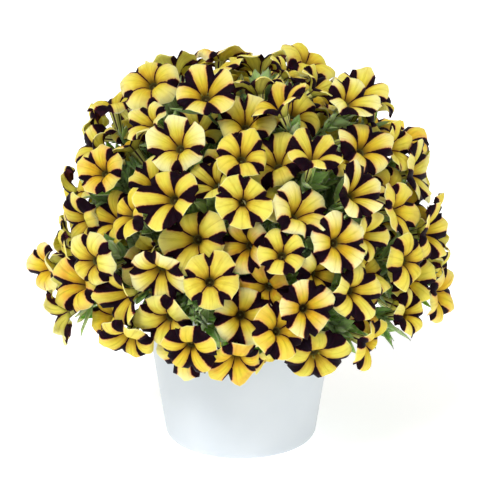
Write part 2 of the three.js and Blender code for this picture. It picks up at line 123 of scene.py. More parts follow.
# What each bloom draws.
BLOOM_CURL = (-0.1, 0.8)
BLOOM_CLIMB = (1.15, 1.35)  # slope out of the throat, in radians
BLOOM_LEVELLING = (0.6, 1.6)  # the power by which that slope falls
BLOOM_TILT = (0, 3.8)
RIPPLES = ((7, 1.0), (9, 0.9), (12, 0.5))  # waves round the rim, and their height
SHUT_POWER = 4.5  # the higher, the fewer blooms are half shut
SHUT_SLOPE = 0.45
SHUT_SHARE = 0.22  # of its radius, that a half-shut bloom falls short by
LIMB_DEPTH = 12  # about how far the throat lies behind the rim
# Dark wedges: that of a narrow one, what the broadest adds to it, and how much it varies.
WEDGE_WIDTH = (0.33, 0.34, 0.1)  # as a share of the way from the seam to the lobe's middle
WEDGE_START = (0.65, -0.38, 0.07)  # as a share of the way out

# ---- Blooms behind the outer ones ----
HIDDEN_BLOOMS = 30  # fewer where there is no room
HIDDEN_TRIES = 90  # for each of them
HIDDEN_LOWEST = -0.05  # sine of the lowest one's elevation
HIDDEN_DEPTH = 8  # under the bush's outside,
HIDDEN_DEPTH_SPREAD = 34  # and what is drawn on top of it
HIDDEN_RADIUS = 18
HIDDEN_RADIUS_SPREAD = 6
HIDDEN_LEAN = 0.9  # the most off the way out, in radians
HIDDEN_SWING = 40.0  # the most round it, in radians: many turns, so all ways are as likely
HIDDEN_SPIN = 30.0  # the same round its own axis
HIDDEN_MARGIN = 3.5  # kept free before a limb
LONGEST_STALK = 62
STALK_FORWARD = 0.1  # least cosine between a bloom's axis and the way to it from its stem

# ---- Buds ----
BUD_LENGTH = 34
BUD_TIP_LENGTH = 11
BUD_RADIUS = 2.6

# ---- Leaves: widths, folds and droops are shares of their length ----
FILL_LEAVES = 60  # on each stem, where there is room
FILL_LENGTHS = (22, 44)
STALK_LEAVES = 9  # for each bloom, where there is room
STALK_LENGTHS = (15, 38)
SMALL_LEAF = {"width": (0.24, 0.46), "fold": (0.05, 0.14), "droop": (0.0, 0.22)}
FULL_LEAF = {"width": (0.42, 0.48), "fold": (0.09, 0.12), "droop": (0.04, 0.1)}
SEPAL = {"length": (9, 14), "width": (0.17, 0.24), "fold": (0.01, 0.03), "droop": (-0.12, 0.12)}
FURTHEST_OUT = 10  # past the bloom nearest to a leaf's tip
LEAF_LEAN = (0.1, 1.2)  # off the way out, in radians
MOUTH_RADIUS = 82  # leaves over the compost stay within this


# ---- Small sums on arrays of vectors ----
def unit(vectors):
    return vectors / np.linalg.norm(vectors, axis=-1, keepdims=True)


def ease(values):
    """Rises from 0 to 1 with level ends: 3 x squared less 2 x cubed."""
    held = np.clip(values, 0, 1)
    return held * held * (3 - 2 * held)


def ray(azimuth, elevation):
    """Unit vectors towards an azimuth and an elevation."""
    return np.stack(
        [
            np.sin(azimuth) * np.cos(elevation),
            -np.cos(azimuth) * np.cos(elevation),
            np.sin(elevation) + 0 * azimuth,
        ],
        axis=-1,
    )


def square_to(axes, turns):
    """Unit vectors square to the axes, turned about them."""
    level = np.where(np.abs(axes[..., 2:]) < 0.9, [[0.0, 0.0, 1.0]], [[1.0, 0.0, 0.0]])
    first = unit(np.cross(level, axes))
    second = np.cross(axes, first)
    return first * np.cos(turns)[..., None] + second * np.sin(turns)[..., None]


# ---- Where the solid part has its blooms, leaves and buds ----
LEAST_RIM = 15  # from a bloom's throat to its rim
# From halfway up a leaf's rib to its six neighbours, as shares of the leaf's length.
LEAF_SPOKES = np.array([0.2864, 0.2864, 0.2953, 0.2953, 0.3627, 0.5036])
LEAF_SHOULDER = 0.36  # from its root to its widest place, the same
LEAF_MISFIT = 0.004
LEAST_LEAF = 20
LEAST_APART = 2  # nearer roots are those of one leaf's two faces
BUD_MISFIT = 0.02


def corners_of(node):
    """The node's corners, each once, and the pairs of corners that an edge joins."""
    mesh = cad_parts[node].data
    places = np.empty(len(mesh.vertices) * 3, np.float32)
    mesh.vertices.foreach_get("co", places)
    faces = np.empty(len(mesh.loops), np.int32)
    mesh.loops.foreach_get("vertex_index", faces)
    points, which = np.unique(places.reshape(-1, 3), axis=0, return_inverse=True)
    faces = which.ravel()[faces].reshape(-1, 3)
    edges = np.concatenate([faces[:, [0, 1]], faces[:, [1, 2]], faces[:, [2, 0]]])
    return points.astype(float) / MM, np.unique(np.sort(edges, axis=1), axis=0)


def fans(points, edges, spokes):
    """The corners with so many neighbours, and those neighbours, nearest first."""
    both = np.concatenate([edges, edges[:, ::-1]])
    both = both[np.argsort(both[:, 0], kind="stable")]
    count = np.bincount(both[:, 0], minlength=len(points))
    first = np.cumsum(count) - count
    hubs = np.flatnonzero(count == spokes)
    ring = points[both[first[hubs][:, None] + np.arange(spokes), 1]]
    far = np.linalg.norm(ring - points[hubs][:, None], axis=-1)
    order = np.argsort(far, axis=1)
    ring = np.take_along_axis(ring, order[..., None], axis=1)
    return points[hubs], ring, np.take_along_axis(far, order, axis=1)


def find_blooms(points, edges):
    """A bloom's throat has ten neighbours, the five tips and five notches of its rim."""
    throat, ring, far = fans(points, edges, 2 * LOBES)
    found = far[:, 0] > LEAST_RIM
    throat, ring = throat[found], ring[found]
    centre = ring.mean(axis=1)
    start = ring[:, -1] - centre
    return {
        "centre": centre,
        "axis": unit(centre - throat),
        "start": unit(start),
        "radius": np.linalg.norm(start, axis=-1),
    }


def find_leaves(points, edges):
    """Halfway up its rib a leaf has six neighbours: two on each edge, the tip and the root."""
    middle, ring, far = fans(points, edges, len(LEAF_SPOKES))
    length = far[:, -1] / LEAF_SPOKES[-1]
    misfit = np.abs(far / length[:, None] - LEAF_SPOKES).max(axis=1)
    found = (misfit < LEAF_MISFIT) & (length > LEAST_LEAF)
    middle, ring, length = middle[found], ring[found], length[found]
    shoulder = ring[:, 2:4].mean(axis=1)
    axis = unit(ring[:, 0:2].mean(axis=1) - shoulder)
    drop = middle - shoulder
    face = unit((drop * axis).sum(axis=-1, keepdims=True) * axis - drop)
    root = shoulder - LEAF_SHOULDER * length[:, None] * axis
    apart = np.linalg.norm(root[:, None] - root[None], axis=-1)
    first = ~np.tril(apart < LEAST_APART, -1).any(axis=1)
    leaves = {"root": root, "axis": axis, "face": face, "length": length}
    return {key: values[first] for key, values in leaves.items()}


def find_buds(points, edges):
    """A bud's tip has four neighbours, all as far from it as the widest ring."""
    tip, ring, far = fans(points, edges, 4)
    side = math.hypot(BUD_TIP_LENGTH, BUD_RADIUS)
    found = np.abs(far - side).max(axis=1) < BUD_MISFIT
    return {"tip": tip[found], "axis": unit(tip[found] - ring[found].mean(axis=1))}


def stem_points(index):
    """Foot, collar, bend and tip of a stem, by the solid part's rule: the tips lie evenly
    on a dome round the heart, and the lower a stem is, the wider it arches."""
    low = math.sin(LOWEST)
    elevation = math.asin(1 - (index + 0.5) / STEM_COUNT * (1 - low))
    azimuth = index * GOLDEN_TURN
    outward = ray(np.float64(azimuth), np.float64(0))
    hem = min(max((HEM - elevation) / (HEM - LOWEST), 0), 1)
    droop = elevation * TIP_DROOP if elevation < 0 else elevation
    reach = 1 / math.hypot(math.cos(droop) / TIP_RADIUS, math.sin(droop) / TIP_RISE)
    tip = HEART + ray(np.float64(azimuth), np.float64(droop)) * reach
    foot_radius = STEM_SPREAD * math.sqrt((index + 0.5) / STEM_COUNT)
    collar_height = soil_surface(foot_radius) + COLLAR_RISE
    tip_radius = math.hypot(tip[0], tip[1])
    bend_radius = foot_radius + (tip_radius - foot_radius) * (BEND_OUT + HEM_BEND_OUT * hem)
    bend_height = SOIL_TOP + (tip[2] - SOIL_TOP) * BEND_UP + ARCH * hem
    foot = outward * foot_radius + UP * (SOIL_TOP - STEM_DEPTH)
    collar = outward * foot_radius + UP * collar_height
    bend = outward * bend_radius + UP * bend_height
    return foot, collar, bend, tip


def curve_point(stem, shares):
    """Points on the stem's curve from its collar, 0, to its tip, 1: the parabola whose ends
    head for the bend."""
    _, collar, bend, tip = stem
    t = np.asarray(shares, float)[..., None]
    return collar * (1 - t) ** 2 + bend * 2 * t * (1 - t) + tip * t**2


# ---- Shells: every shape is a closed run of rings ----
WELD_WITHIN = 0.002


class Shell:
    """Copies of a grid of points, rows by columns, whose columns close into rings.

    points is (copies, rows, columns, 3). across holds the u of each column's left and
    right corner, along the v of each row, finish the material of each band of faces,
    and tone four numbers for each copy, or for each of its points. Faces point
    outwards where the columns run clockwise about the way that the rows go.
    """

    def __init__(self, points, across, along, finish, tone):
        copies, rows, columns, _ = points.shape
        row, column = np.meshgrid(np.arange(rows - 1), np.arange(columns), indexing="ij")
        right = (column + 1) % columns
        one = np.stack(
            [row * columns + column, (row + 1) * columns + column,
             (row + 1) * columns + right, row * columns + right],
            axis=-1,
        ).reshape(-1, 4)
        step = np.arange(copies)[:, None, None] * rows * columns
        u = np.asarray(across)[column][..., [0, 0, 1, 1]]
        v = np.asarray(along)[np.stack([row, row + 1, row + 1, row], axis=-1)]
        band = np.broadcast_to(np.asarray(finish), (rows - 1, columns))
        tones = tone.reshape((-1, 1, 1, 4)) if tone.ndim == 2 else tone
        self.points = points.reshape(-1, 3)
        self.faces = (one[None] + step).reshape(-1, 4)
        self.uv = np.tile(np.stack([u, v], axis=-1).reshape(-1, 4, 2), (copies, 1, 1))
        self.finish = np.tile(band.ravel(), copies)
        self.tone = np.broadcast_to(tones, (copies, rows, columns, 4)).reshape(-1, 4)


def around(columns):
    """The u of the left and right corners of each column, from 0 to 1 round a ring."""
    left = np.arange(columns) / columns
    return np.stack([left, left + 1 / columns], axis=-1)


def add_piece(name, shells, finishes, slot, *nodes):
    """One mesh of the shells, with poles welded, that rides on the root and stands for
    the nodes."""
    points = np.concatenate([shell.points for shell in shells])
    starts = np.cumsum([0] + [len(shell.points) for shell in shells[:-1]])
    faces = np.concatenate([shell.faces + start for shell, start in zip(shells, starts)])
    mesh = bpy.data.meshes.new(name)
    mesh.vertices.add(len(points))
    mesh.vertices.foreach_set("co", (points * MM).astype(np.float32).ravel())
    mesh.loops.add(faces.size)
    mesh.loops.foreach_set("vertex_index", faces.astype(np.int32).ravel())
    mesh.polygons.add(len(faces))
    mesh.polygons.foreach_set("loop_start", np.arange(0, faces.size, 4, dtype=np.int32))
    kinds = np.concatenate([shell.finish for shell in shells]).astype(np.int32)
    mesh.polygons.foreach_set("material_index", kinds)
    mesh.update(calc_edges=True)
    surface = mesh.uv_layers.new(name="surface")
    uv = np.concatenate([shell.uv for shell in shells]).astype(np.float32)
    surface.data.foreach_set("uv", uv.ravel())
    tone = mesh.attributes.new("tone", "FLOAT_COLOR", "POINT")
    tones = np.concatenate([shell.tone for shell in shells]).astype(np.float32)
    tone.data.foreach_set("color", tones.ravel())
    mesh.shade_smooth()
    for finish in finishes:
        mesh.materials.append(finish)
    weld(mesh)
    piece = bpy.data.objects.new(name, mesh)
    bpy.context.scene.collection.objects.link(piece)
    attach(piece, "root")
    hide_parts(*nodes)
    return piece


def weld(mesh):
    """Merges points that coincide, which closes the poles."""
    work = bmesh.new()
    work.from_mesh(mesh)
    bmesh.ops.remove_doubles(work, verts=work.verts, dist=WELD_WITHIN * MM)
    work.to_mesh(mesh)
    work.free()


# ---- Blooms ----
BLOOM_FRONT, BLOOM_BACK, BLOOM_TUBE, BLOOM_THROAT = range(4)
# Rows of a radius and a height: from the stigma down its style to the floor of the throat,
# from the limb's first row, and from the neck down the tube, as shares of the way to its foot.
THROAT_ROWS = np.array([[0, -0.6], [0.9, -1.4], [0.5, -4.5], [2.4, -5.2]])
TUBE_ROWS = np.array([[4.8, 0], [4.1, 0.25], [3.1, 0.6], [2.1, 0.9], [1.2, 0.985], [0, 1]])
TUBE_END = -32.8
TUBE_RIBS = 0.08
# The limb's rows as shares of the way out, and which of them its reverse has.
LIMB_SHARES = np.array([0.15, 0.22, 0.31, 0.42, 0.54, 0.66, 0.78, 0.88, 0.95, 1.0])
BACK_ROWS = [9, 7, 5, 4, 2]
LEVEL_ROW = 6  # this row lies in the rim's plane
RIM_ROUNDING = 0.15
# The columns run round the bloom. Each has its place, counted in lobes from the middle of
# the first, its turn, its place across the lobe, from -1 to 1, and the seam beside it.
PLACE = np.arange(LOBES * LOBE_STEPS) / LOBE_STEPS
TURN = PLACE / LOBES * 2 * math.pi
ACROSS = 2 * ((PLACE + 0.5) % 1) - 1
SEAM = np.floor(PLACE).astype(int)


def limb_rows(radius, draw):
    """Radii and heights of the limb's points, as blooms by rows by columns.

    s is the share of the way out and p the place across the lobe, from -1 to 1. The outline
    swells over each lobe by 1 less p squared, dips into a notch at each seam by p to the
    8th, and swells beside it by the knob, a sine of p. The limb climbs steeply out of the
    throat, levels by a power of 1 - s, and curls back by a power of s, more on some lobes
    than on others; a half-shut one slopes upwards all the way. Radius and height are the
    running sums of that slope's cosine and sine, over steps that are stretched until they
    reach the rim. On that lie a vault over each lobe, a cosine of p that leaves a crease at
    the seam, a sine of p that lifts one side of the lobe, the knobs turned up at the rim, a
    tilt of the whole limb, and a ripple of three sines round the rim.
    """
    count = len(radius)
    turn, p = TURN[None, None], ACROSS[None, None]
    blend = ease(PLACE - SEAM)
    neighbour = (SEAM + 1) % LOBES

    def by_lobe(low, high, power=1):
        values = low + (high - low) * draw.uniform(0, 1, (count, LOBES)) ** power
        return (values[:, SEAM] * (1 - blend) + values[:, neighbour] * blend)[:, None]

    def by_bloom(low, high):
        return draw.uniform(low, high, (count, 1, 1))

    radius = radius[:, None, None]
    shares = LIMB_SHARES[None, :, None]
    first = LIMB_SHARES[0]
    knob = np.sin(2 * math.pi * (np.abs(p) - 0.5)).clip(0)
    outline = 1 + by_lobe(*LOBE_SWELL) * (1 - p**2) - (1 - NOTCH_SHARE) * np.abs(p) ** 8
    waist = 0.03 * np.sin(math.pi * np.abs(p)) ** 2
    outline = outline - waist + by_lobe(*LOBE_SHOULDER) * knob
    length = radius * shares * (1 + shares**3 * (outline - 1))

    way = (LIMB_SHARES[:-1] + LIMB_SHARES[1:]) / 2
    way = ((way - first) / (1 - first))[None, :, None]
    curl = by_bloom(*BLOOM_CURL) + by_lobe(*LOBE_CURL) + by_lobe(*LOBE_FOLD, 4)
    shut = by_bloom(0, 1) ** SHUT_POWER
    slope = by_bloom(*BLOOM_CLIMB) * (1 - way) ** by_bloom(*BLOOM_LEVELLING) - curl * way**2.2
    slope = slope + SHUT_SLOPE * shut * (1 - 0.5 * (1 - way))
    step = np.diff(length, axis=1)
    reach = (step * np.cos(slope)).sum(axis=1, keepdims=True).mean(axis=2, keepdims=True)
    step = step * (1 - first - SHUT_SHARE * shut) * radius / reach
    start = first * radius + 0 * turn
    out = np.concatenate([start, start + np.cumsum(step * np.cos(slope), axis=1)], axis=1)
    rise = np.concatenate([0 * start, np.cumsum(step * np.sin(slope), axis=1)], axis=1)
    rise = rise - rise[:, LEVEL_ROW].mean(axis=1)[:, None, None]

    vault = by_lobe(*LOBE_VAULT) * shares**1.2 * (np.cos(math.pi / 2 * p) - 0.64)
    vault = vault + by_lobe(*LOBE_SIDE) * shares**1.6 * np.sin(math.pi * p)
    vault = vault + by_lobe(*LOBE_CUFF) * shares**5 * knob
    tilt = by_bloom(*BLOOM_TILT) * shares * np.cos(turn - by_bloom(0, 2 * math.pi))
    ripple = sum(
        size * np.sin(waves * turn + by_bloom(0, 2 * math.pi)) for waves, size in RIPPLES
    )
    return out, rise + vault + tilt + ripple * shares**4


def petal_tone(count, draw):
    """Four numbers for each column: how wide its dark wedge is, how far out the wedge begins,
    which is the nearer the broader it is, and the bloom's warmth and paleness."""
    broad = draw.uniform(0, 1, (count, 1)) ** 1.5
    least, gain, spread = WEDGE_WIDTH
    wide = least + gain * broad + draw.uniform(-spread, spread, (count, LOBES))
    most, gain, spread = WEDGE_START
    begin = most + gain * broad + draw.uniform(-spread, spread, (count, 1))
    warmth, pale = draw.uniform(0, 1, (2, count, 1))
    each = (wide[:, SEAM], begin, warmth, pale**2.5)
    tone = [np.broadcast_to(values, (count, len(PLACE))) for values in each]
    return np.stack(tone, axis=-1)[:, None]


def bloom_shell(blooms, draw):
    """A limb of five fused lobes, with a reverse behind it by the petal's thickness, which
    runs down into a slim ribbed tube. The throat holds the stigma."""
    out, rise = limb_rows(blooms["radius"], draw)
    turn = TURN[None, None]
    neck = rise[:, :1].mean(axis=2, keepdims=True)
    throat_out = THROAT_ROWS[None, :, :1] + 0 * neck + 0 * turn
    throat_rise = neck + THROAT_ROWS[None, :, 1:] + 0 * turn
    tube_out = TUBE_ROWS[None, :, :1] * (1 + TUBE_RIBS * np.cos(LOBES * turn)) + 0 * neck
    tube_rise = neck + 1 + (TUBE_END - neck - 1) * TUBE_ROWS[None, :, 1:] + 0 * turn
    rim = out[:, -1:] + RIM_ROUNDING, rise[:, -1:] - PETAL_THICKNESS / 2
    back = out[:, BACK_ROWS], rise[:, BACK_ROWS] - PETAL_THICKNESS
    out = np.concatenate([throat_out, out, rim[0], back[0], tube_out], axis=1)
    rise = np.concatenate([throat_rise, rise, rim[1], back[1], tube_rise], axis=1)

    side = np.cross(blooms["axis"], blooms["start"])
    ways = [vector[:, None, None] for vector in (blooms["start"], side, blooms["axis"])]
    points = blooms["centre"][:, None, None] + sum(
        part[..., None] * vector
        for part, vector in zip((out * np.cos(turn), out * np.sin(turn), rise), ways)
    )

    bands = [
        (BLOOM_THROAT, np.linspace(0, 1, len(THROAT_ROWS))),
        (BLOOM_FRONT, LIMB_SHARES),
        (BLOOM_BACK, [1.0]),
        (BLOOM_BACK, LIMB_SHARES[BACK_ROWS]),
        (BLOOM_TUBE, np.linspace(0.1, 1, len(TUBE_ROWS))),
    ]
    along = np.concatenate([rows for _, rows in bands])
    finish = np.concatenate([np.full(len(rows), kind) for kind, rows in bands])[:-1, None]
    across = np.stack([ACROSS, ACROSS + 2 / LOBE_STEPS], axis=-1)
    return Shell(points, across, along, finish, petal_tone(len(points), draw))


def probes(blooms, tips):
    """Points that mark out each bloom: two rings on its limb, its tube, and its stalk."""
    turn = (np.arange(2 * LOBES) / LOBES * math.pi)[:, None]
    side = np.cross(blooms["axis"], blooms["start"])[:, None]
    spokes = blooms["start"][:, None] * np.cos(turn) + side * np.sin(turn)
    centre, radius = blooms["centre"][:, None], blooms["radius"][:, None, None]
    rings = [centre + spokes * radius * share for share in (1.0, 0.6)]
    depths = np.array([0.25, 0.5, 0.75, 1.0])[:, None] * BLOOM_LENGTH
    tube = centre - depths * blooms["axis"][:, None]
    shares = np.array([0.25, 0.5, 0.75])[:, None]
    stalk = tube[:, -1:] + (tips[:, None] - tube[:, -1:]) * shares
    return np.concatenate([*rings, tube, stalk], axis=1)


def from_bloom(points, centre, axis):
    """How far points lie ahead of a bloom's rim, and aside from its axis."""
    away = points - centre
    ahead = (away * axis).sum(axis=-1)
    return ahead, np.linalg.norm(away - ahead[..., None] * axis, axis=-1)


def in_limb(points, centre, axis, radius):
    """Which points are in a bloom's limb, a bowl with its rim 4.5 back, or close before it."""
    ahead, aside = from_bloom(points, centre, axis)
    share = aside / radius
    bowl = -4.5 - LIMB_DEPTH * (1 - share)
    return (share < 1.06) & (ahead > bowl) & (ahead < HIDDEN_MARGIN)


def hidden_blooms(blooms, tips, draw):
    """Blooms behind the outer ones, each in a free place between them, and the stem of each.

    A place is drawn by its way from the heart and its depth under the bush's outside. It is
    taken where a stem's tip is near behind it, the new bloom's probes keep out of every
    limb, and theirs keep out of its own.
    """
    known = {key: values.copy() for key, values in blooms.items()}
    reach = np.linalg.norm(blooms["centre"] - HEART, axis=1)
    toward = unit(blooms["centre"] - HEART)
    marks = probes(blooms, blooms["tip"])
    grown = []
    for _ in range(HIDDEN_TRIES * HIDDEN_BLOOMS):
        azimuth, height, depth, size, roll, tilt = draw.uniform(0, 1, 6)
        lift = math.asin(HIDDEN_LOWEST + (1 - HIDDEN_LOWEST) * height)
        outward = ray(np.float64(azimuth * 2 * math.pi), np.float64(lift))
        near = np.argsort(-(toward @ outward))[:4]
        outside = reach[near].max()
        centre = HEART + outward * (outside - HIDDEN_DEPTH - HIDDEN_DEPTH_SPREAD * depth)
        swing = square_to(outward[None], np.array([roll * HIDDEN_SWING]))[0]
        lean = HIDDEN_LEAN * tilt
        axis = unit(outward * math.cos(lean) + swing * math.sin(lean))
        one = {
            "centre": centre[None],
            "axis": axis[None],
            "start": square_to(axis[None], np.array([size * HIDDEN_SPIN])),
            "radius": np.array([HIDDEN_RADIUS + HIDDEN_RADIUS_SPREAD * size]),
        }
        foot = centre - BLOOM_LENGTH * axis
        spans = np.linalg.norm(tips - foot, axis=1)
        stem = int(np.argmin(spans))
        span = spans[stem]
        if span > LONGEST_STALK or (foot - tips[stem]) @ axis < STALK_FORWARD * span:
            continue
        own = probes(one, tips[stem][None])
        if in_limb(own[0][:, None], known["centre"], known["axis"], known["radius"]).any():
            continue
        if in_limb(marks, one["centre"], one["axis"], one["radius"][0]).any():
            continue
        one["tip"] = tips[stem][None]
        marks = np.concatenate([marks, own])
        known = {key: np.concatenate([known[key], one[key]]) for key in known}
        grown.append(stem)
        if len(grown) == HIDDEN_BLOOMS:
            break
    fresh = {key: values[len(blooms["radius"]):] for key, values in known.items()}
    return fresh, np.array(grown)


# ---- Stems, stalks and buds: canes along a path ----
GREEN_CANE, GREEN_LEAF, GREEN_UNDERSIDE, GREEN_BUD = range(4)


def cane_shell(paths, radii, tone, finish=GREEN_CANE):
    """Round bars: a ring square to the path at each of its points, closed at both ends.

    paths is (copies, points, 3), and radii (copies, points, columns).
    """
    columns = radii.shape[-1]
    tangent = unit(np.gradient(paths, axis=1))
    chord = unit(paths[:, -1] - paths[:, 0])
    aside = square_to(chord, np.zeros(len(chord)))[:, None]
    first = unit(aside - (aside * tangent).sum(axis=-1, keepdims=True) * tangent)
    second = np.cross(first, tangent)
    turn = (np.arange(columns) / columns * 2 * math.pi)[None, None, :, None]
    spokes = first[:, :, None] * np.cos(turn) + second[:, :, None] * np.sin(turn)
    rings = paths[:, :, None] + radii[..., None] * spokes
    ends = [np.repeat(paths[:, at][:, None, None], columns, axis=2) for at in (0, -1)]
    points = np.concatenate([ends[0], rings, ends[1]], axis=1)
    along = np.concatenate([[0], np.linspace(0, 1, paths.shape[1]), [1]])
    return Shell(points, around(columns), along, finish, tone)


def stem_shell(stem, tone):
    """The stem from its foot along its curve, with a rounded swelling at its tip."""
    foot, _, bend, tip = stem
    shares = np.linspace(0, 1, 11)[:-1]
    cap = np.array([-0.7, 0, 0.6, 0.95])
    swelling = tip + unit(tip - bend) * (cap * NODE_RADIUS)[:, None]
    path = np.concatenate([foot[None], curve_point(stem, shares), swelling])
    width = STEM_RADIUS * (1 - STEM_TAPER * shares)
    ends = NODE_RADIUS * np.array([0.85, 1, 0.75, 0.3])
    radius = np.concatenate([[STEM_RADIUS], width, ends])
    radii = np.repeat(radius[None, :, None], 8, axis=2)
    return cane_shell(path[None], radii, tone)


def stalk_shell(blooms, stem, tone):
    """Stalks on a cubic curve that leaves each tube's foot straight, half as thick again
    there, and ends in the stem's tip."""
    foot = blooms["centre"] - BLOOM_LENGTH * blooms["axis"]
    tip = np.broadcast_to(stem[3], foot.shape)
    span = np.linalg.norm(foot - tip, axis=-1, keepdims=True)
    shares = np.linspace(0, 1, 9)
    t = shares[None, :, None]
    guides = [
        foot + blooms["axis"],
        foot - 0.38 * span * blooms["axis"],
        tip + 0.3 * (foot - tip),
        tip,
    ]
    weights = [(1 - t) ** 3, 3 * t * (1 - t) ** 2, 3 * t**2 * (1 - t), t**3]
    paths = sum(weight * guide[:, None] for weight, guide in zip(weights, guides))
    radius = STALK_RADIUS * (1 + 0.5 * (1 - shares) ** 6)
    radii = np.broadcast_to(radius[None, :, None], (len(foot), len(shares), 6))
    return cane_shell(paths, radii, tone)


# Rows of a bud, from its calyx to its tip: how far each is behind the tip, and its radius.
BUD_BACK = [BUD_LENGTH + 1, 33, 30, 24, 18, BUD_TIP_LENGTH + 2, 8, 5, 2.5, 0.6]
BUD_RADII = [1.1, 1.7, 1.8, 1.6, 1.8, 2.5, 2.6, 2.1, 1.3, 0.4]
BUD_SIDES = 20
PLEATED = 22  # this far behind the tip
PLEAT_DEPTH = 0.16
PLEAT_TWIST = 2.2


def bud_shell(buds, stem, draw):
    """A stalk, then a tube that swells and closes in five pleats, which twist to the tip:
    the radius varies with the cosine of five times the turn and the twist."""
    count = len(buds["tip"])
    back = np.zeros((count, 1)) + np.array([0, *BUD_BACK])
    back[:, 0] = np.linalg.norm(buds["tip"] - stem[3], axis=-1)
    radius = np.array([STALK_RADIUS, *BUD_RADII])
    paths = buds["tip"][:, None] - back[..., None] * buds["axis"][:, None]
    turn = np.arange(BUD_SIDES) / BUD_SIDES * 2 * math.pi
    pleat = PLEAT_DEPTH * ease(1 - back / PLEATED)[..., None]
    twist = (1 - back / BUD_LENGTH).clip(0, 1)[..., None] * PLEAT_TWIST
    radii = radius[None, :, None] * (1 + pleat * np.cos(LOBES * turn + LOBES * twist))
    return cane_shell(paths, radii, draw_tone(count, draw), GREEN_BUD)


# ---- Leaves ----
LEAF_THICKNESS = 0.8
SEPAL_THICKNESS = 0.7
LEAF_WAVES = 0.025  # their height, as a share of the leaf's length


def drawn(kinds, count, draw):
    """For each named range so many numbers drawn from it."""
    return {key: draw.uniform(*limits, count) for key, limits in kinds.items()}


def draw_tone(count, draw):
    return draw.uniform(0, 1, (count, 4))


def leaf_shell(leaves, tone, rows=7, half=2, thickness=LEAF_THICKNESS, waves=LEAF_WAVES):
    """A thin blade, closed round its edge.

    At the share s of its length and the place p across, from -1 to 1, the half width is the
    0.85th power of the sine of pi times s to the power 0.75, narrowed to a short stalk at
    the root. The rib sinks by the fold, a sine along the leaf, less towards the edges, the
    tip droops by s squared, and the edges wave in s.
    """
    s = np.linspace(0, 1, rows)[None, :, None]
    top = np.linspace(1, -1, 2 * half + 1)
    p = np.concatenate([top, -top[1:-1]])[None, None]
    face_up = np.concatenate([np.ones(len(top)), -np.ones(len(top) - 2)])[None, None]
    length, width, fold, droop = (
        leaves[key][:, None, None] for key in ("length", "width", "fold", "droop")
    )
    outline = np.sin(math.pi * s**0.75).clip(0) ** 0.85 * np.minimum(1, 0.25 + s / 0.16)
    outline = outline + 0.03 * (1 - s)
    outline[:, -1] = 0
    wide = length * width / 2 * outline
    rib = fold * np.sin(math.pi * s**0.8) * (1 - np.abs(p) ** 1.4)
    wave = waves * np.sin(11 * s + 40 * fold + 2 * p) * p**2
    body = thickness / 2 * face_up * (1 - p**2) * np.minimum(1, 4 * (1 - s) + 0.1)
    lift = length * (wave - rib - droop * s**2) + body
    ahead = length * s + 0 * lift
    side = np.cross(leaves["axis"], leaves["face"])
    parts = ((ahead, leaves["axis"]), (wide * p + 0 * lift, side), (lift, leaves["face"]))
    points = leaves["root"][:, None, None] + sum(
        part[..., None] * vector[:, None, None] for part, vector in parts
    )
    stops = np.concatenate([top, -top[1:]])
    across = np.stack([stops[:-1], stops[1:]], axis=-1)
    finish = np.where(np.arange(len(across)) < 2 * half, GREEN_LEAF, GREEN_UNDERSIDE)[None]
    return Shell(points, across, np.linspace(0, 1, rows), finish, tone)


def sepals(feet, draw):
    """Five slim sepals round each foot, which lean out along the tube."""
    count = len(feet["root"])
    turn = np.arange(LOBES) / LOBES * 2 * math.pi + draw.uniform(0, 1, (count, 1))
    start = feet["start"][:, None]
    side = np.cross(feet["axis"], feet["start"])[:, None]
    out = start * np.cos(turn)[..., None] + side * np.sin(turn)[..., None]
    lean = draw.uniform(0.25, 0.75, (count, LOBES, 1))
    forward = feet["axis"][:, None]
    blade = forward * np.cos(lean) + out * np.sin(lean)
    face = forward * np.sin(lean) - out * np.cos(lean)
    root = feet["root"][:, None] + 1.2 * out - 0.6 * forward
    ways = {"root": root, "axis": blade, "face": face}
    ways = {key: vectors.reshape(-1, 3) for key, vectors in ways.items()}
    return {**ways, **drawn(SEPAL, count * LOBES, draw)}


def clear_of_blooms(points, blooms):
    """Which leaves keep out of every bloom's limb, a bowl with its rim 3.5 back, and of the
    space before its face. points is (leaves, points, 3)."""
    clear = np.ones(len(points), bool)
    for centre, axis, radius in zip(blooms["centre"], blooms["axis"], blooms["radius"]):
        ahead, aside = from_bloom(points, centre, axis)
        share = aside / radius
        bowl = -3.5 - LIMB_DEPTH * (1 - share)
        limb = (share < 1.04) & (ahead > bowl) & (ahead < 9 - 5 * share)
        before = (share < 0.62) & (ahead > 0) & (ahead < 18)
        clear &= ~(limb | before).any(axis=1)
    return clear


def clear_of_pot(points):
    """Which leaves keep out of the compost and of the pot's wall."""
    aside = np.hypot(points[..., 0], points[..., 1])
    height = points[..., 2]
    in_mouth = (aside < MOUTH_RADIUS) & (height > SOIL_TOP + SOIL_CROWN)
    above, beside = height > POT_HEIGHT + 2, aside > POT_RIM_RADIUS + 3
    return (in_mouth | above | beside).all(axis=1)


def inside_box(points, box):
    """Which leaves keep within the two corners of a box, given in metres."""
    low, high = (np.array(corner) / MM for corner in box)
    return ((points > low) & (points < high)).all(axis=(1, 2))


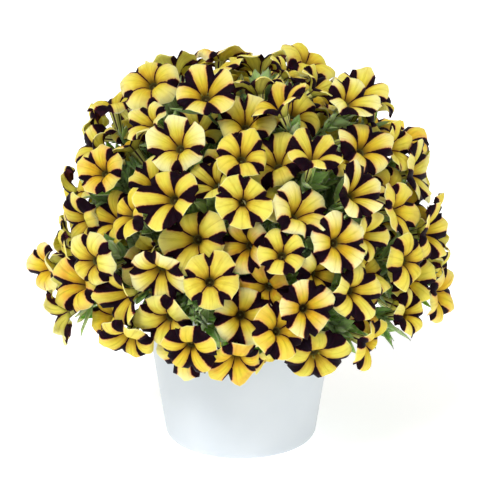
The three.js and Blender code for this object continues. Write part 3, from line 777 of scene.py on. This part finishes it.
def kept_leaves(root, lengths, blooms, count, draw):
    """Leaves that lean out from their roots, clear of all blooms and of the pot. Up to the
    count are kept, those first whose tips are furthest out past the bloom nearest to them,
    but none that stands out by FURTHEST_OUT or more."""
    tries = len(root)
    outward = unit(root - HEART + 30 * UP)
    lean = draw.uniform(*LEAF_LEAN, tries)
    swing = square_to(outward, draw.uniform(0, 2 * math.pi, tries))
    axis = unit(outward * np.cos(lean)[:, None] + swing * np.sin(lean)[:, None])
    face = outward - (outward * axis).sum(axis=-1, keepdims=True) * axis
    face = unit(face + 0.5 * square_to(axis, draw.uniform(0, 2 * math.pi, tries)))
    face = unit(face - (face * axis).sum(axis=-1, keepdims=True) * axis)
    leaves = {"root": root, "axis": axis, "face": face}
    leaves.update(drawn({"length": lengths, **SMALL_LEAF}, tries, draw))
    shares = np.array([0.35, 0.6, 0.8, 1.0])[None, :, None]
    length = leaves["length"][:, None, None]
    ribs = root[:, None] + axis[:, None] * length * shares
    wide = 0.2 * length * np.cross(axis, face)[:, None]
    outline = np.concatenate([ribs, ribs[:, :3] + wide, ribs[:, :3] - wide], axis=1)
    clear = clear_of_blooms(outline, blooms) & clear_of_pot(outline)
    clear &= inside_box(outline, cad_box)
    tips = ribs[:, -1] - HEART
    towards = blooms["centre"] - HEART
    near = np.argmax(unit(tips) @ unit(towards).T, axis=1)
    proud = np.linalg.norm(tips, axis=1) - np.linalg.norm(towards[near], axis=1)
    able = np.flatnonzero(clear & (proud < FURTHEST_OUT))
    kept = able[np.argsort(-proud[able])][:count]
    return {key: values[kept] for key, values in leaves.items()}


def fill_leaves(stem, blooms, draw):
    """Leaves that part from a stem, most of them from its upper part."""
    root = curve_point(stem, draw.uniform(0.3, 1.0, 8 * FILL_LEAVES) ** 0.8)
    return kept_leaves(root, FILL_LENGTHS, blooms, FILL_LEAVES, draw)


def stalk_leaves(own, blooms, draw):
    """Small leaves that part from the stalks of a stem's own blooms."""
    count = STALK_LEAVES * len(own["radius"])
    which = draw.integers(0, len(own["radius"]), 14 * count)
    foot = own["centre"][which] - BLOOM_LENGTH * own["axis"][which]
    tip = own["tip"][which]
    share = draw.uniform(0.1, 1.0, (len(which), 1))
    return kept_leaves(tip + (foot - tip) * share, STALK_LENGTHS, blooms, count, draw)


# ---- Pot and compost ----
def pot_radius(height):
    return POT_RIM_RADIUS - (POT_HEIGHT - height) * math.tan(POT_TAPER)


def inner_radius(height):
    return pot_radius(height) - POT_WALL / math.cos(POT_TAPER)


def soil_surface(radius):
    return SOIL_TOP + SOIL_CROWN * (1 - (radius / inner_radius(SOIL_TOP)) ** 2)


def corner_arc(wall_radius, floor, radius, steps):
    """Radii and heights from the wall's slope round to a flat floor."""
    middle = floor + radius
    inward = wall_radius(middle) - radius / math.cos(POT_TAPER)
    turn = -np.linspace(POT_TAPER, math.pi / 2, steps + 1)
    return np.stack([inward + radius * np.cos(turn), middle + radius * np.sin(turn)], axis=-1)


def turned_shell(profile, columns, relief=0):
    """Rings round the upright axis through a profile of radii and heights. The relief
    is added to the heights, and is an array of rows by columns."""
    turn = np.arange(columns) / columns * 2 * math.pi
    radius, height = (profile[:, axis][:, None] for axis in (0, 1))
    rise = height + relief + 0 * turn
    points = np.stack([radius * np.cos(turn), radius * np.sin(turn), rise], axis=-1)
    along = np.linspace(0, 1, len(profile))
    return Shell(points[None], around(columns), along, 0, np.zeros((1, 4)))


def pot_profile():
    """From the middle of the floor up the inside, over a rounded lip, down the outside
    and round the corner to the middle of the base."""
    lip = POT_WALL / 2
    lip_height = POT_HEIGHT - lip
    lip_middle = (inner_radius(lip_height) + pot_radius(lip_height)) / 2
    turn = np.linspace(math.pi, 0, 9)
    lip_arc = np.stack([lip_middle + lip * np.cos(turn), lip_height + lip * np.sin(turn)], axis=-1)
    inner = corner_arc(inner_radius, POT_FLOOR, POT_CORNER - POT_WALL, 6)[::-1]
    outer = corner_arc(pot_radius, 0, POT_CORNER, 8)
    height = POT_HEIGHT * (1 - np.linspace(0.1, 0.9, 7))
    wall = np.stack([pot_radius(height), height], axis=-1)
    return np.concatenate(
        [[[0, POT_FLOOR], [20, POT_FLOOR]], inner, lip_arc, wall, outer, [[20, 0], [0, 0]]]
    )


def add_pot(finish):
    """The turned pot, with its drain holes drilled through the floor."""
    pot = add_piece("flower_pot", [turned_shell(pot_profile(), POT_SIDES)], [finish], "pot", "pot")
    turn = np.arange(DRAIN_HOLES) / DRAIN_HOLES * 2 * math.pi
    middles = ray(turn, 0 * turn) * DRAIN_CIRCLE_RADIUS
    path = middles[:, None] + np.array([-2.0, POT_FLOOR + 2.0])[:, None] * UP
    radii = np.full((DRAIN_HOLES, 2, DRAIN_HOLE_SIDES), float(DRAIN_HOLE_RADIUS))
    drill = cane_shell(path, radii, np.zeros((1, 4)))
    cutter = add_piece("drill", [drill], [finish], "pot")
    cut = pot.modifiers.new("drain holes", "BOOLEAN")
    cut.operation = "DIFFERENCE"
    cut.solver = "EXACT"
    cut.object = cutter
    drilled = pot.evaluated_get(bpy.context.evaluated_depsgraph_get())
    bored = bpy.data.meshes.new_from_object(drilled)
    pot.modifiers.clear()
    pot.data = bored
    bpy.data.objects.remove(cutter)
    pot.data.shade_smooth()
    pot.data.set_sharp_from_angle(angle=POT_SHARP_EDGE)


def add_compost(finish, draw):
    """A low mound with lumps: a sum of sines in random directions, level at the wall."""
    edge = inner_radius(SOIL_TOP) - SOIL_GAP
    shares = np.linspace(0, 1, 34)
    top = np.stack([edge * shares, soil_surface(edge * shares)], axis=-1)
    floor = POT_FLOOR + SOIL_GAP
    corner = corner_arc(lambda z: inner_radius(z) - SOIL_GAP, floor, POT_CORNER - POT_WALL, 4)
    profile = np.concatenate([top, corner, [[0, floor]]])
    turn = np.arange(SOIL_SIDES) / SOIL_SIDES * 2 * math.pi
    x, y = top[:, :1] * np.cos(turn), top[:, :1] * np.sin(turn)
    relief = np.zeros((len(profile), SOIL_SIDES))
    for wavelength in SOIL_WAVES:
        for heading in draw.uniform(0, 2 * math.pi, 3):
            phase = draw.uniform(0, 2 * math.pi)
            wave = (x * math.cos(heading) + y * math.sin(heading)) / wavelength
            relief[: len(top)] += wavelength**0.5 * np.sin(2 * math.pi * wave + phase)
    relief *= SOIL_LUMP / np.abs(relief).max()
    relief[: len(top)] *= ease((1 - shares) / 0.05)[:, None]
    mound = turned_shell(profile, SOIL_SIDES, relief)
    add_piece("compost", [mound], [finish], "compost", "soil")


# ---- Finishes ----
def rgb(red, green, blue):
    """A colour as a screen shows it, 0 to 255, in the renderer's linear numbers."""
    return tuple(
        c / 12.92 if c <= 0.04045 else ((c + 0.055) / 1.055) ** 2.4
        for c in (red / 255, green / 255, blue / 255)
    ) + (1.0,)


class Term:
    """A number over a surface: an output socket, on which arithmetic adds Math nodes."""

    def __init__(self, finish, socket):
        self.finish = finish
        self.socket = socket

    def math(self, operation, *others):
        values = dict(enumerate((self, *others)))
        return self.finish.node("ShaderNodeMath", {"operation": operation}, values)

    def __add__(self, other):
        return self.math("ADD", other)

    def __sub__(self, other):
        return self.math("SUBTRACT", other)

    def __mul__(self, other):
        return self.math("MULTIPLY", other)

    def __rsub__(self, other):
        return self * -1 + other

    def __truediv__(self, other):
        return self.math("DIVIDE", other)

    def __pow__(self, other):
        return self.math("POWER", other)

    def __abs__(self):
        return self.math("ABSOLUTE")

    __radd__ = __add__
    __rmul__ = __mul__

    def rise(self, low, high):
        """0 below low, 1 above high, smooth between."""
        limits = {"Value": self, "From Min": low, "From Max": high}
        return self.finish.node("ShaderNodeMapRange", {"interpolation_type": "SMOOTHSTEP"}, limits)


class Finish:
    """A material: its Principled shader, and the nodes that feed it."""

    def __init__(self, name, **settings):
        self.material = bpy.data.materials.new(name)
        self.material.use_nodes = True
        self.tree = self.material.node_tree
        self.shader = self.tree.nodes["Principled BSDF"]
        for socket, value in settings.items():
            self.shader.inputs[socket.replace("_", " ")].default_value = value

    def node(self, kind, settings=None, inputs=None, output=0):
        """Adds a node. The settings come first, then each input as a value or a link."""
        made = self.tree.nodes.new(kind)
        for key, value in (settings or {}).items():
            setattr(made, key, value)
        for key, value in (inputs or {}).items():
            self.feed(made.inputs[key], value)
        return Term(self, made.outputs[output])

    def feed(self, socket, value):
        if isinstance(value, Term):
            self.tree.links.new(value.socket, socket)
        else:
            socket.default_value = value

    def place(self):
        return self.node("ShaderNodeTexCoord", output="Object")

    def parts(self, vector, count=3):
        separate = self.node("ShaderNodeSeparateXYZ", None, {0: vector}).socket.node
        return [Term(self, separate.outputs[i]) for i in range(count)]

    def surface(self):
        """The place across and along the surface's own grid."""
        return self.parts(self.node("ShaderNodeUVMap", {"uv_map": "surface"}), 2)

    def tone(self):
        """The four numbers of the piece's tone."""
        kept = {"attribute_name": "tone", "attribute_type": "GEOMETRY"}
        reader = self.node("ShaderNodeAttribute", kept, output="Color")
        split = self.node("ShaderNodeSeparateColor", None, {0: reader}).socket.node
        alpha = Term(self, reader.socket.node.outputs["Alpha"])
        return [Term(self, split.outputs[i]) for i in range(3)] + [alpha]

    def point(self, x, y, z=0.0):
        return self.node("ShaderNodeCombineXYZ", None, {0: x, 1: y, 2: z})

    def noise(self, vector, scale, detail=2.0, roughness=0.5):
        inputs = {"Vector": vector, "Scale": scale, "Detail": detail, "Roughness": roughness}
        return self.node("ShaderNodeTexNoise", None, inputs)

    def blend(self, share, first, second):
        """The first colour where the share is 0, the second where it is 1."""
        return self.node(
            "ShaderNodeMix", {"data_type": "RGBA"}, {0: share, 6: first, 7: second}, output=2
        )

    def bump(self, height, strength, distance):
        inputs = {"Height": height, "Strength": strength, "Distance": distance}
        self.feed(self.shader.inputs["Normal"], self.node("ShaderNodeBump", None, inputs))

    def done(self, colour, roughness):
        self.feed(self.shader.inputs["Base Color"], colour)
        self.feed(self.shader.inputs["Roughness"], roughness)
        return self.material


# Light goes a little way through a petal, the red and green of it furthest, and less far
# through a leaf, the green furthest.
PETAL_GLOW = {
    "Subsurface_Weight": 0.55,
    "Subsurface_Radius": (1.0, 0.9, 0.4),
    "Subsurface_Scale": 0.003,
}
LEAF_GLOW = {
    "Subsurface_Weight": 0.5,
    "Subsurface_Radius": (0.6, 1.0, 0.3),
    "Subsurface_Scale": 0.002,
}
FACE_SHADES = {
    "dark": rgb(16, 2, 12),
    # glint: the colour of the painted highlight on the dark wedge
    "glint": rgb(36, 8, 46),
    "maroon": rgb(84, 12, 34),
    "lemon": rgb(226, 214, 84),
    "gold": rgb(230, 192, 36),
    "amber": rgb(234, 168, 48),
    "deep": rgb(188, 142, 24),
    # cream: the paler rim's own colour, and also the painted highlight on the very edge
    "cream": rgb(247, 238, 172),
    "blush": rgb(232, 166, 108),
    # tan: the colour of the painted shade beside the seams
    "tan": rgb(160, 118, 40),
    "spine": rgb(184, 168, 48),
    "vein": rgb(160, 112, 30),
    "heart": rgb(112, 92, 30),
}
REVERSE_SHADES = {
    "dark": rgb(32, 12, 38),
    # glint: the colour of the painted highlight on the dark wedge
    "glint": rgb(62, 40, 72),
    "maroon": rgb(92, 46, 60),
    "lemon": rgb(236, 230, 124),
    "gold": rgb(232, 218, 104),
    "amber": rgb(230, 200, 100),
    "deep": rgb(206, 200, 90),
    # cream: the paler rim's own colour, and also the painted highlight on the very edge
    "cream": rgb(242, 238, 178),
    "blush": rgb(198, 162, 102),
    # tan: the colour of the painted shade beside the seams
    "tan": rgb(150, 140, 58),
    "spine": rgb(178, 176, 84),
    "vein": rgb(140, 130, 54),
    "heart": rgb(128, 134, 54),
}


def petal_finish(name, shades):
    """Yellow petals with a dark wedge along each seam.

    The wedge is a line of even width in the throat. It opens by a power of the way out from
    where it begins, which is low for one that begins late, so that such a wedge is broad at
    once, and rounds off at the rim. Its near black is streaked with a painted lilac glint,
    a painted highlight. Maroon edges it, a blush runs beside it, and beside that lies a tan
    painted shade, where the lobes fold down to the seam. The yellow is lemon to amber from
    bloom to bloom, deeper inwards and in patches, and goes to cream outwards, with fine
    veins, a faint olive line down the middle of each lobe, and an olive heart. A thin cream
    band on the very rim is a painted highlight.
    """
    finish = Finish(name, Specular_IOR_Level=0.05, **PETAL_GLOW)
    across, outward = finish.surface()
    width, begin, warmth, pale = finish.tone()
    place = finish.place()
    feather = finish.noise(place, 420.0, 3.0, 0.6)
    patch = finish.noise(place, 90.0, 2.0)
    streak_at = finish.point(across * 6, outward * 1.2, warmth * 9 + pale * 5)
    streak = finish.noise(streak_at, 1.0, 4.0, 0.7)
    thread = finish.noise(finish.point(across * 17, outward * 1.6, pale * 11 + 3), 1.0, 1.0)

    opening = ((outward - begin) / (1 - begin)).math("MAXIMUM", 0.0) ** (1.3 - begin * 1.45)
    rounding = 1 - outward.rise(0.84, 1.03) * (begin - 0.22) * 1.1
    wedge = outward**-1 * 0.056 + width * opening * rounding
    margin = wedge + abs(across) - 1 + (feather - 0.5) * 0.1
    dark = margin.rise(-0.02, 0.035) * (outward.rise(0.16, 0.34) * 0.4 + 0.6)
    beside = margin.rise(-0.15, -0.01) * outward.rise(0.4, 0.75) * (0.3 + warmth * 0.5)
    # Painted shade: the yellow turns tan towards each seam, where the lobes fold down and shade
    # falls.
    painted_crease_shade = margin.rise(-0.5, 0.0) * outward.rise(0.97, 0.4) * 0.7
    spine = abs(across).rise(0.16, 0.0) * outward.rise(0.3, 0.5) * outward.rise(0.98, 0.6)

    body = finish.blend(warmth * 0.8 + (patch - 0.5) * 0.6, shades["lemon"], shades["gold"])
    body = finish.blend(warmth.rise(0.78, 0.98) * patch.rise(0.4, 0.65), body, shades["amber"])
    body = finish.blend(outward.rise(0.66, 0.2) * 0.8, body, shades["deep"])
    body = finish.blend(patch.rise(0.5, 0.72) * 0.3, body, shades["deep"])
    body = finish.blend(outward.rise(0.5, 1.0) * (0.12 + pale * 0.8), body, shades["cream"])
    body = finish.blend(beside, body, shades["blush"])
    # The tan painted shade beside the seams goes on here.
    body = finish.blend(painted_crease_shade, body, shades["tan"])
    body = finish.blend(spine * streak.rise(0.3, 0.6) * 0.5, body, shades["spine"])
    lines = streak.rise(0.5, 0.72) * 0.35 + thread.rise(0.56, 0.7) * outward.rise(0.75, 0.2) * 0.6
    body = finish.blend(lines, body, shades["vein"])
    # Painted highlight: a thin cream band on the very rim, where the edge catches the light.
    body = finish.blend(outward.rise(0.97, 1.0) * 0.5, body, shades["cream"])
    body = finish.blend(outward.rise(0.42, 0.14) * 0.85, body, shades["heart"])
    # Painted highlight: lilac glints streaked over the near black of the wedge.
    purple = finish.blend(streak.rise(0.52, 0.75) * 0.6, shades["dark"], shades["glint"])
    purple = finish.blend(margin.rise(0.09, 0.02), purple, shades["maroon"])
    finish.bump(streak * 0.7 + thread * 0.3, 0.8, 0.001)
    return finish.done(finish.blend(dark, body, purple), 0.6 - dark * 0.1 + feather * 0.08)


def throat_finish():
    """An olive stigma in a throat of olive brown with nearly black threads."""
    finish = Finish("petunia throat", Specular_IOR_Level=0.2)
    across, outward = finish.surface()
    thread = finish.noise(finish.point(across * 9, outward * 2), 1.0, 2.0)
    wall = finish.blend(thread.rise(0.42, 0.6), rgb(92, 76, 26), rgb(40, 26, 16))
    colour = finish.blend(outward.rise(0.3, 0.5), rgb(96, 94, 44), wall)
    return finish.done(colour, 0.5 + thread * 0.1)


def tube_finish():
    """Yellow, greener downwards, with a dark purple rib down each seam, a fainter one down
    each lobe, and threads between them."""
    finish = Finish("petunia tube", Specular_IOR_Level=0.25)
    across, down = finish.surface()
    thread = finish.noise(finish.point(across * 7, down * 1.5), 1.0, 3.0)
    patch = finish.noise(finish.place(), 160.0)
    body = finish.blend(down.rise(0.0, 0.9), rgb(232, 228, 130), rgb(168, 182, 94))
    body = finish.blend(patch.rise(0.4, 0.7) * 0.4, body, rgb(200, 204, 124))
    stripe = (abs(across) + (thread - 0.5) * 0.3).rise(0.6, 0.8)
    middle = abs(across).rise(0.16, 0.02) * 0.5
    fine = thread.rise(0.54, 0.66) * 0.4
    lines = stripe.math("MAXIMUM", fine.math("MAXIMUM", middle))
    colour = finish.blend(lines, body, rgb(52, 22, 38))
    finish.bump(thread, 0.3, 0.0004)
    return finish.done(colour, 0.6 + patch * 0.1)


def leaf_finish(name, shade, light, vein_share):
    """Green with a pale rib and side veins, which slant forwards from it: a zigzag of the
    way along less a share of the way out."""
    finish = Finish(name, Sheen_Weight=0.25, **LEAF_GLOW)
    across, along = finish.surface()
    hue, depth, _, _ = finish.tone()
    patch = finish.noise(finish.place(), 120.0, 3.0)
    edge = abs(across)
    rib = edge.rise(0.1, 0.02)
    slant = ((along - edge * 0.3) * 8).math("PINGPONG", 0.5)
    veins = slant.rise(0.1, 0.0) * edge.rise(0.95, 0.5)
    body = finish.blend(hue * 0.7 + (patch - 0.5) * 0.8, shade, light)
    body = finish.blend(depth**3 * 0.4, body, rgb(60, 96, 44))
    colour = finish.blend((rib + veins * 0.6) * vein_share, body, rgb(150, 172, 104))
    finish.bump(1 - rib * 0.7 - veins * 0.5 + patch * 0.2, 0.4, 0.0007)
    return finish.done(colour, 0.5 + patch * 0.2)


def cane_finish():
    """Green stems with a brown flush in places."""
    finish = Finish("petunia stem", Sheen_Weight=0.4)
    patch = finish.noise(finish.place(), 60.0, 3.0)
    fine = finish.noise(finish.place(), 900.0)
    colour = finish.blend(patch.rise(0.35, 0.7), rgb(88, 122, 50), rgb(122, 146, 74))
    colour = finish.blend(patch.rise(0.6, 0.75) * 0.4, colour, rgb(112, 92, 56))
    finish.bump(fine, 0.4, 0.0003)
    return finish.done(colour, 0.55 + fine * 0.15)


def bud_finish():
    """Yellow green pleats with purple between them, which follow the twist."""
    finish = Finish("petunia bud", Sheen_Weight=0.2)
    around_bud, along = finish.surface()
    hue, _, _, _ = finish.tone()
    patch = finish.noise(finish.place(), 200.0)
    fold = (around_bud * LOBES + along * 1.1).math("PINGPONG", 0.5) * 2
    body = finish.blend(hue * 0.6 + patch * 0.3, rgb(196, 196, 92), rgb(168, 184, 84))
    body = finish.blend(along.rise(0.5, 0.1), body, rgb(96, 128, 56))
    stripe = (fold + (patch - 0.5) * 0.3).rise(0.62, 0.86) * along.rise(0.12, 0.5)
    colour = finish.blend(stripe * 0.85, body, rgb(66, 30, 50))
    return finish.done(colour, 0.5 + patch * 0.1)


def pot_finish():
    """Satin moulded plastic: nearly even, with faint clouding and a fine skin."""
    finish = Finish("pot plastic", Specular_IOR_Level=0.45)
    place = finish.place()
    cloud = finish.noise(place, 14.0, 3.0)
    skin = finish.noise(place, 1400.0, 2.0)
    colour = finish.blend(cloud.rise(0.3, 0.7), rgb(205, 212, 219), rgb(212, 218, 224))
    finish.bump(skin, 0.06, 0.0002)
    return finish.done(colour, 0.36 + cloud * 0.1 + skin * 0.03)


def compost_finish():
    """Dark fibrous compost with lighter bark flecks."""
    finish = Finish("compost")
    place = finish.place()
    lump = finish.noise(place, 160.0, 6.0, 0.7)
    fleck = finish.noise(place, 420.0, 2.0)
    colour = finish.blend(lump.rise(0.35, 0.65), rgb(30, 20, 14), rgb(72, 50, 34))
    colour = finish.blend(fleck.rise(0.62, 0.68), colour, rgb(122, 92, 62))
    finish.bump(lump + fleck * 0.5, 0.9, 0.002)
    return finish.done(colour, 0.9 + lump * 0.08)


def floor_finish():
    """Nearly white, and it gives off a little light, so that it stays pale all over."""
    glow = {"Emission_Color": rgb(255, 255, 255), "Emission_Strength": FLOOR_GLOW}
    finish = Finish("pale floor", **glow)
    grain = finish.noise(finish.place(), 3.0)
    colour = finish.blend(grain, rgb(247, 247, 247), rgb(249, 249, 249))
    return finish.done(colour, 0.9 + grain * 0.02)


# ---- The bush ----
def joined_arrays(parts):
    """Puts parts with the same keys end to end."""
    return {key: np.concatenate([part[key] for part in parts]) for key in parts[0]}


def plan_blooms(stems, corners, draw, petal_draw):
    """Each node's blooms, and all of them together: those of the solid part, a little
    smaller or larger, and the hidden ones, which go to the stem behind them."""
    blooms = {node: find_blooms(*corners[node]) for node in stems}
    for node, own in blooms.items():
        count = len(own["radius"])
        own["tip"] = np.broadcast_to(stems[node][3], (count, 3))
        own["radius"] = own["radius"] * petal_draw.uniform(*BLOOM_SIZES, count)
    outer = joined_arrays(list(blooms.values()))
    sprays = [node for node in stems if node.startswith("spray")]
    tips = np.array([stems[node][3] for node in sprays])
    hidden, on_stem = hidden_blooms(outer, tips, draw)
    for index, node in enumerate(sprays):
        mine = {key: values[on_stem == index] for key, values in hidden.items()}
        blooms[node] = joined_arrays([blooms[node], mine])
    return blooms, joined_arrays([outer, hidden])


def green_shells(stem, own, everywhere, corners, draw):
    """A stem with its leaves, the stalks of its blooms, its buds, and a calyx for each."""
    leaves, buds = find_leaves(*corners), find_buds(*corners)
    fill = fill_leaves(stem, everywhere, draw)
    if len(own["radius"]):
        fill = joined_arrays([fill, stalk_leaves(own, everywhere, draw)])
    shells = [stem_shell(stem, draw_tone(1, draw))]
    full = {**leaves, **drawn(FULL_LEAF, len(leaves["root"]), draw)}
    for batch in (full, fill):
        if len(batch["root"]):
            shells.append(leaf_shell(batch, draw_tone(len(batch["root"]), draw)))
    feet = []
    if len(own["radius"]):
        shells.append(stalk_shell(own, stem, draw_tone(len(own["radius"]), draw)))
        root = own["centre"] - (BLOOM_LENGTH - 1) * own["axis"]
        feet.append({"root": root, "axis": own["axis"], "start": own["start"]})
    if len(buds["tip"]):
        shells.append(bud_shell(buds, stem, draw))
        root = buds["tip"] - BUD_LENGTH * buds["axis"]
        start = square_to(buds["axis"], np.zeros(len(root)))
        feet.append({"root": root, "axis": buds["axis"], "start": start})
    if feet:
        calyx = sepals(joined_arrays(feet), draw)
        tone = draw_tone(len(calyx["root"]), draw)
        shells.append(leaf_shell(calyx, tone, 5, 1, SEPAL_THICKNESS, 0))
    return shells


def plant():
    """Each stem becomes a piece of greens and, where it has any, a piece of blooms."""
    petals = [
        petal_finish("petunia petal", FACE_SHADES),
        petal_finish("petunia petal reverse", REVERSE_SHADES),
        tube_finish(),
        throat_finish(),
    ]
    greens = [
        cane_finish(),
        leaf_finish("petunia leaf", rgb(132, 176, 84), rgb(192, 218, 132), 0.7),
        leaf_finish("petunia leaf underside", rgb(166, 198, 130), rgb(202, 222, 164), 0.9),
        bud_finish(),
    ]
    draw = np.random.default_rng(BUSH_SEED)
    petal_draw = np.random.default_rng(PETAL_SEED)
    nodes = sorted(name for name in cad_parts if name.startswith(("spray", "shoot")))
    numbers = {node: node.split("_")[1] for node in nodes}
    stems = {node: stem_points(int(numbers[node]) - 1) for node in nodes}
    corners = {node: corners_of(node) for node in nodes}
    blooms, everywhere = plan_blooms(stems, corners, draw, petal_draw)
    for node in nodes:
        own = blooms[node]
        shells = green_shells(stems[node], own, everywhere, corners[node], draw)
        add_piece(f"greens_{numbers[node]}", shells, greens, "foliage", node)
        if len(own["radius"]):
            shells = [bloom_shell(own, petal_draw)]
            add_piece(f"blooms_{numbers[node]}", shells, petals, "petals", node)


# ---- Studio ----
CAMERA_TARGET = Vector((0, 0, 0.190))  # metres, as is the distance
CAMERA_DISTANCE = 1.5
CAMERA_ELEVATION = math.radians(15)
CAMERA_LENS = 122.3
CAMERA_SHIFT = -0.002
SKY_STRENGTH = 0.52
FLOOR_GLOW = 0.52
FLOOR_EDGE = 12.0  # metres from its middle
# A name, a strength, an angle in degrees, and the way to the light.
SUNS = [
    ("window", 2.1, 22, (-0.42, -0.8, 1.0)),
    ("white wall", 0.45, 70, (0.9, -0.7, 0.35)),
]


def set_light():
    """A white sky, one large soft light high on the left, and a weak one on the right."""
    world = bpy.data.worlds.new("studio")
    world.use_nodes = True
    sky = world.node_tree.nodes["Background"]
    sky.inputs["Color"].default_value = (1, 1, 1, 1)
    sky.inputs["Strength"].default_value = SKY_STRENGTH
    bpy.context.scene.world = world
    bpy.context.scene.view_settings.view_transform = "Standard"
    for name, energy, angle, towards in SUNS:
        sun = bpy.data.lights.new(name, "SUN")
        sun.energy = energy
        sun.angle = math.radians(angle)
        lamp = bpy.data.objects.new(name, sun)
        lamp.rotation_euler = Vector(towards).to_track_quat("Z", "Y").to_euler()
        bpy.context.scene.collection.objects.link(lamp)


def set_floor():
    mesh = bpy.data.meshes.new("floor")
    square = ((-1, -1), (1, -1), (1, 1), (-1, 1))
    corners = [(FLOOR_EDGE * x, FLOOR_EDGE * y, 0) for x, y in square]
    mesh.from_pydata(corners, [], [(0, 1, 2, 3)])
    mesh.materials.append(floor_finish())
    floor = bpy.data.objects.new("floor", mesh)
    bpy.context.scene.collection.objects.link(floor)


def set_camera():
    """The photograph's view: from the front, a little above the bush's middle."""
    lens = bpy.data.cameras.new("camera")
    lens.lens = CAMERA_LENS
    lens.shift_x = CAMERA_SHIFT
    lens.shift_y = CAMERA_SHIFT
    camera = bpy.data.objects.new("camera", lens)
    back = Vector((0, -math.cos(CAMERA_ELEVATION), math.sin(CAMERA_ELEVATION)))
    camera.location = CAMERA_TARGET + back * CAMERA_DISTANCE
    camera.rotation_euler = (-back).to_track_quat("-Z", "Y").to_euler()
    bpy.context.scene.collection.objects.link(camera)
    bpy.context.scene.camera = camera


set_light()
set_floor()
set_camera()
add_pot(pot_finish())
add_compost(compost_finish(), np.random.default_rng(COMPOST_SEED))
plant()
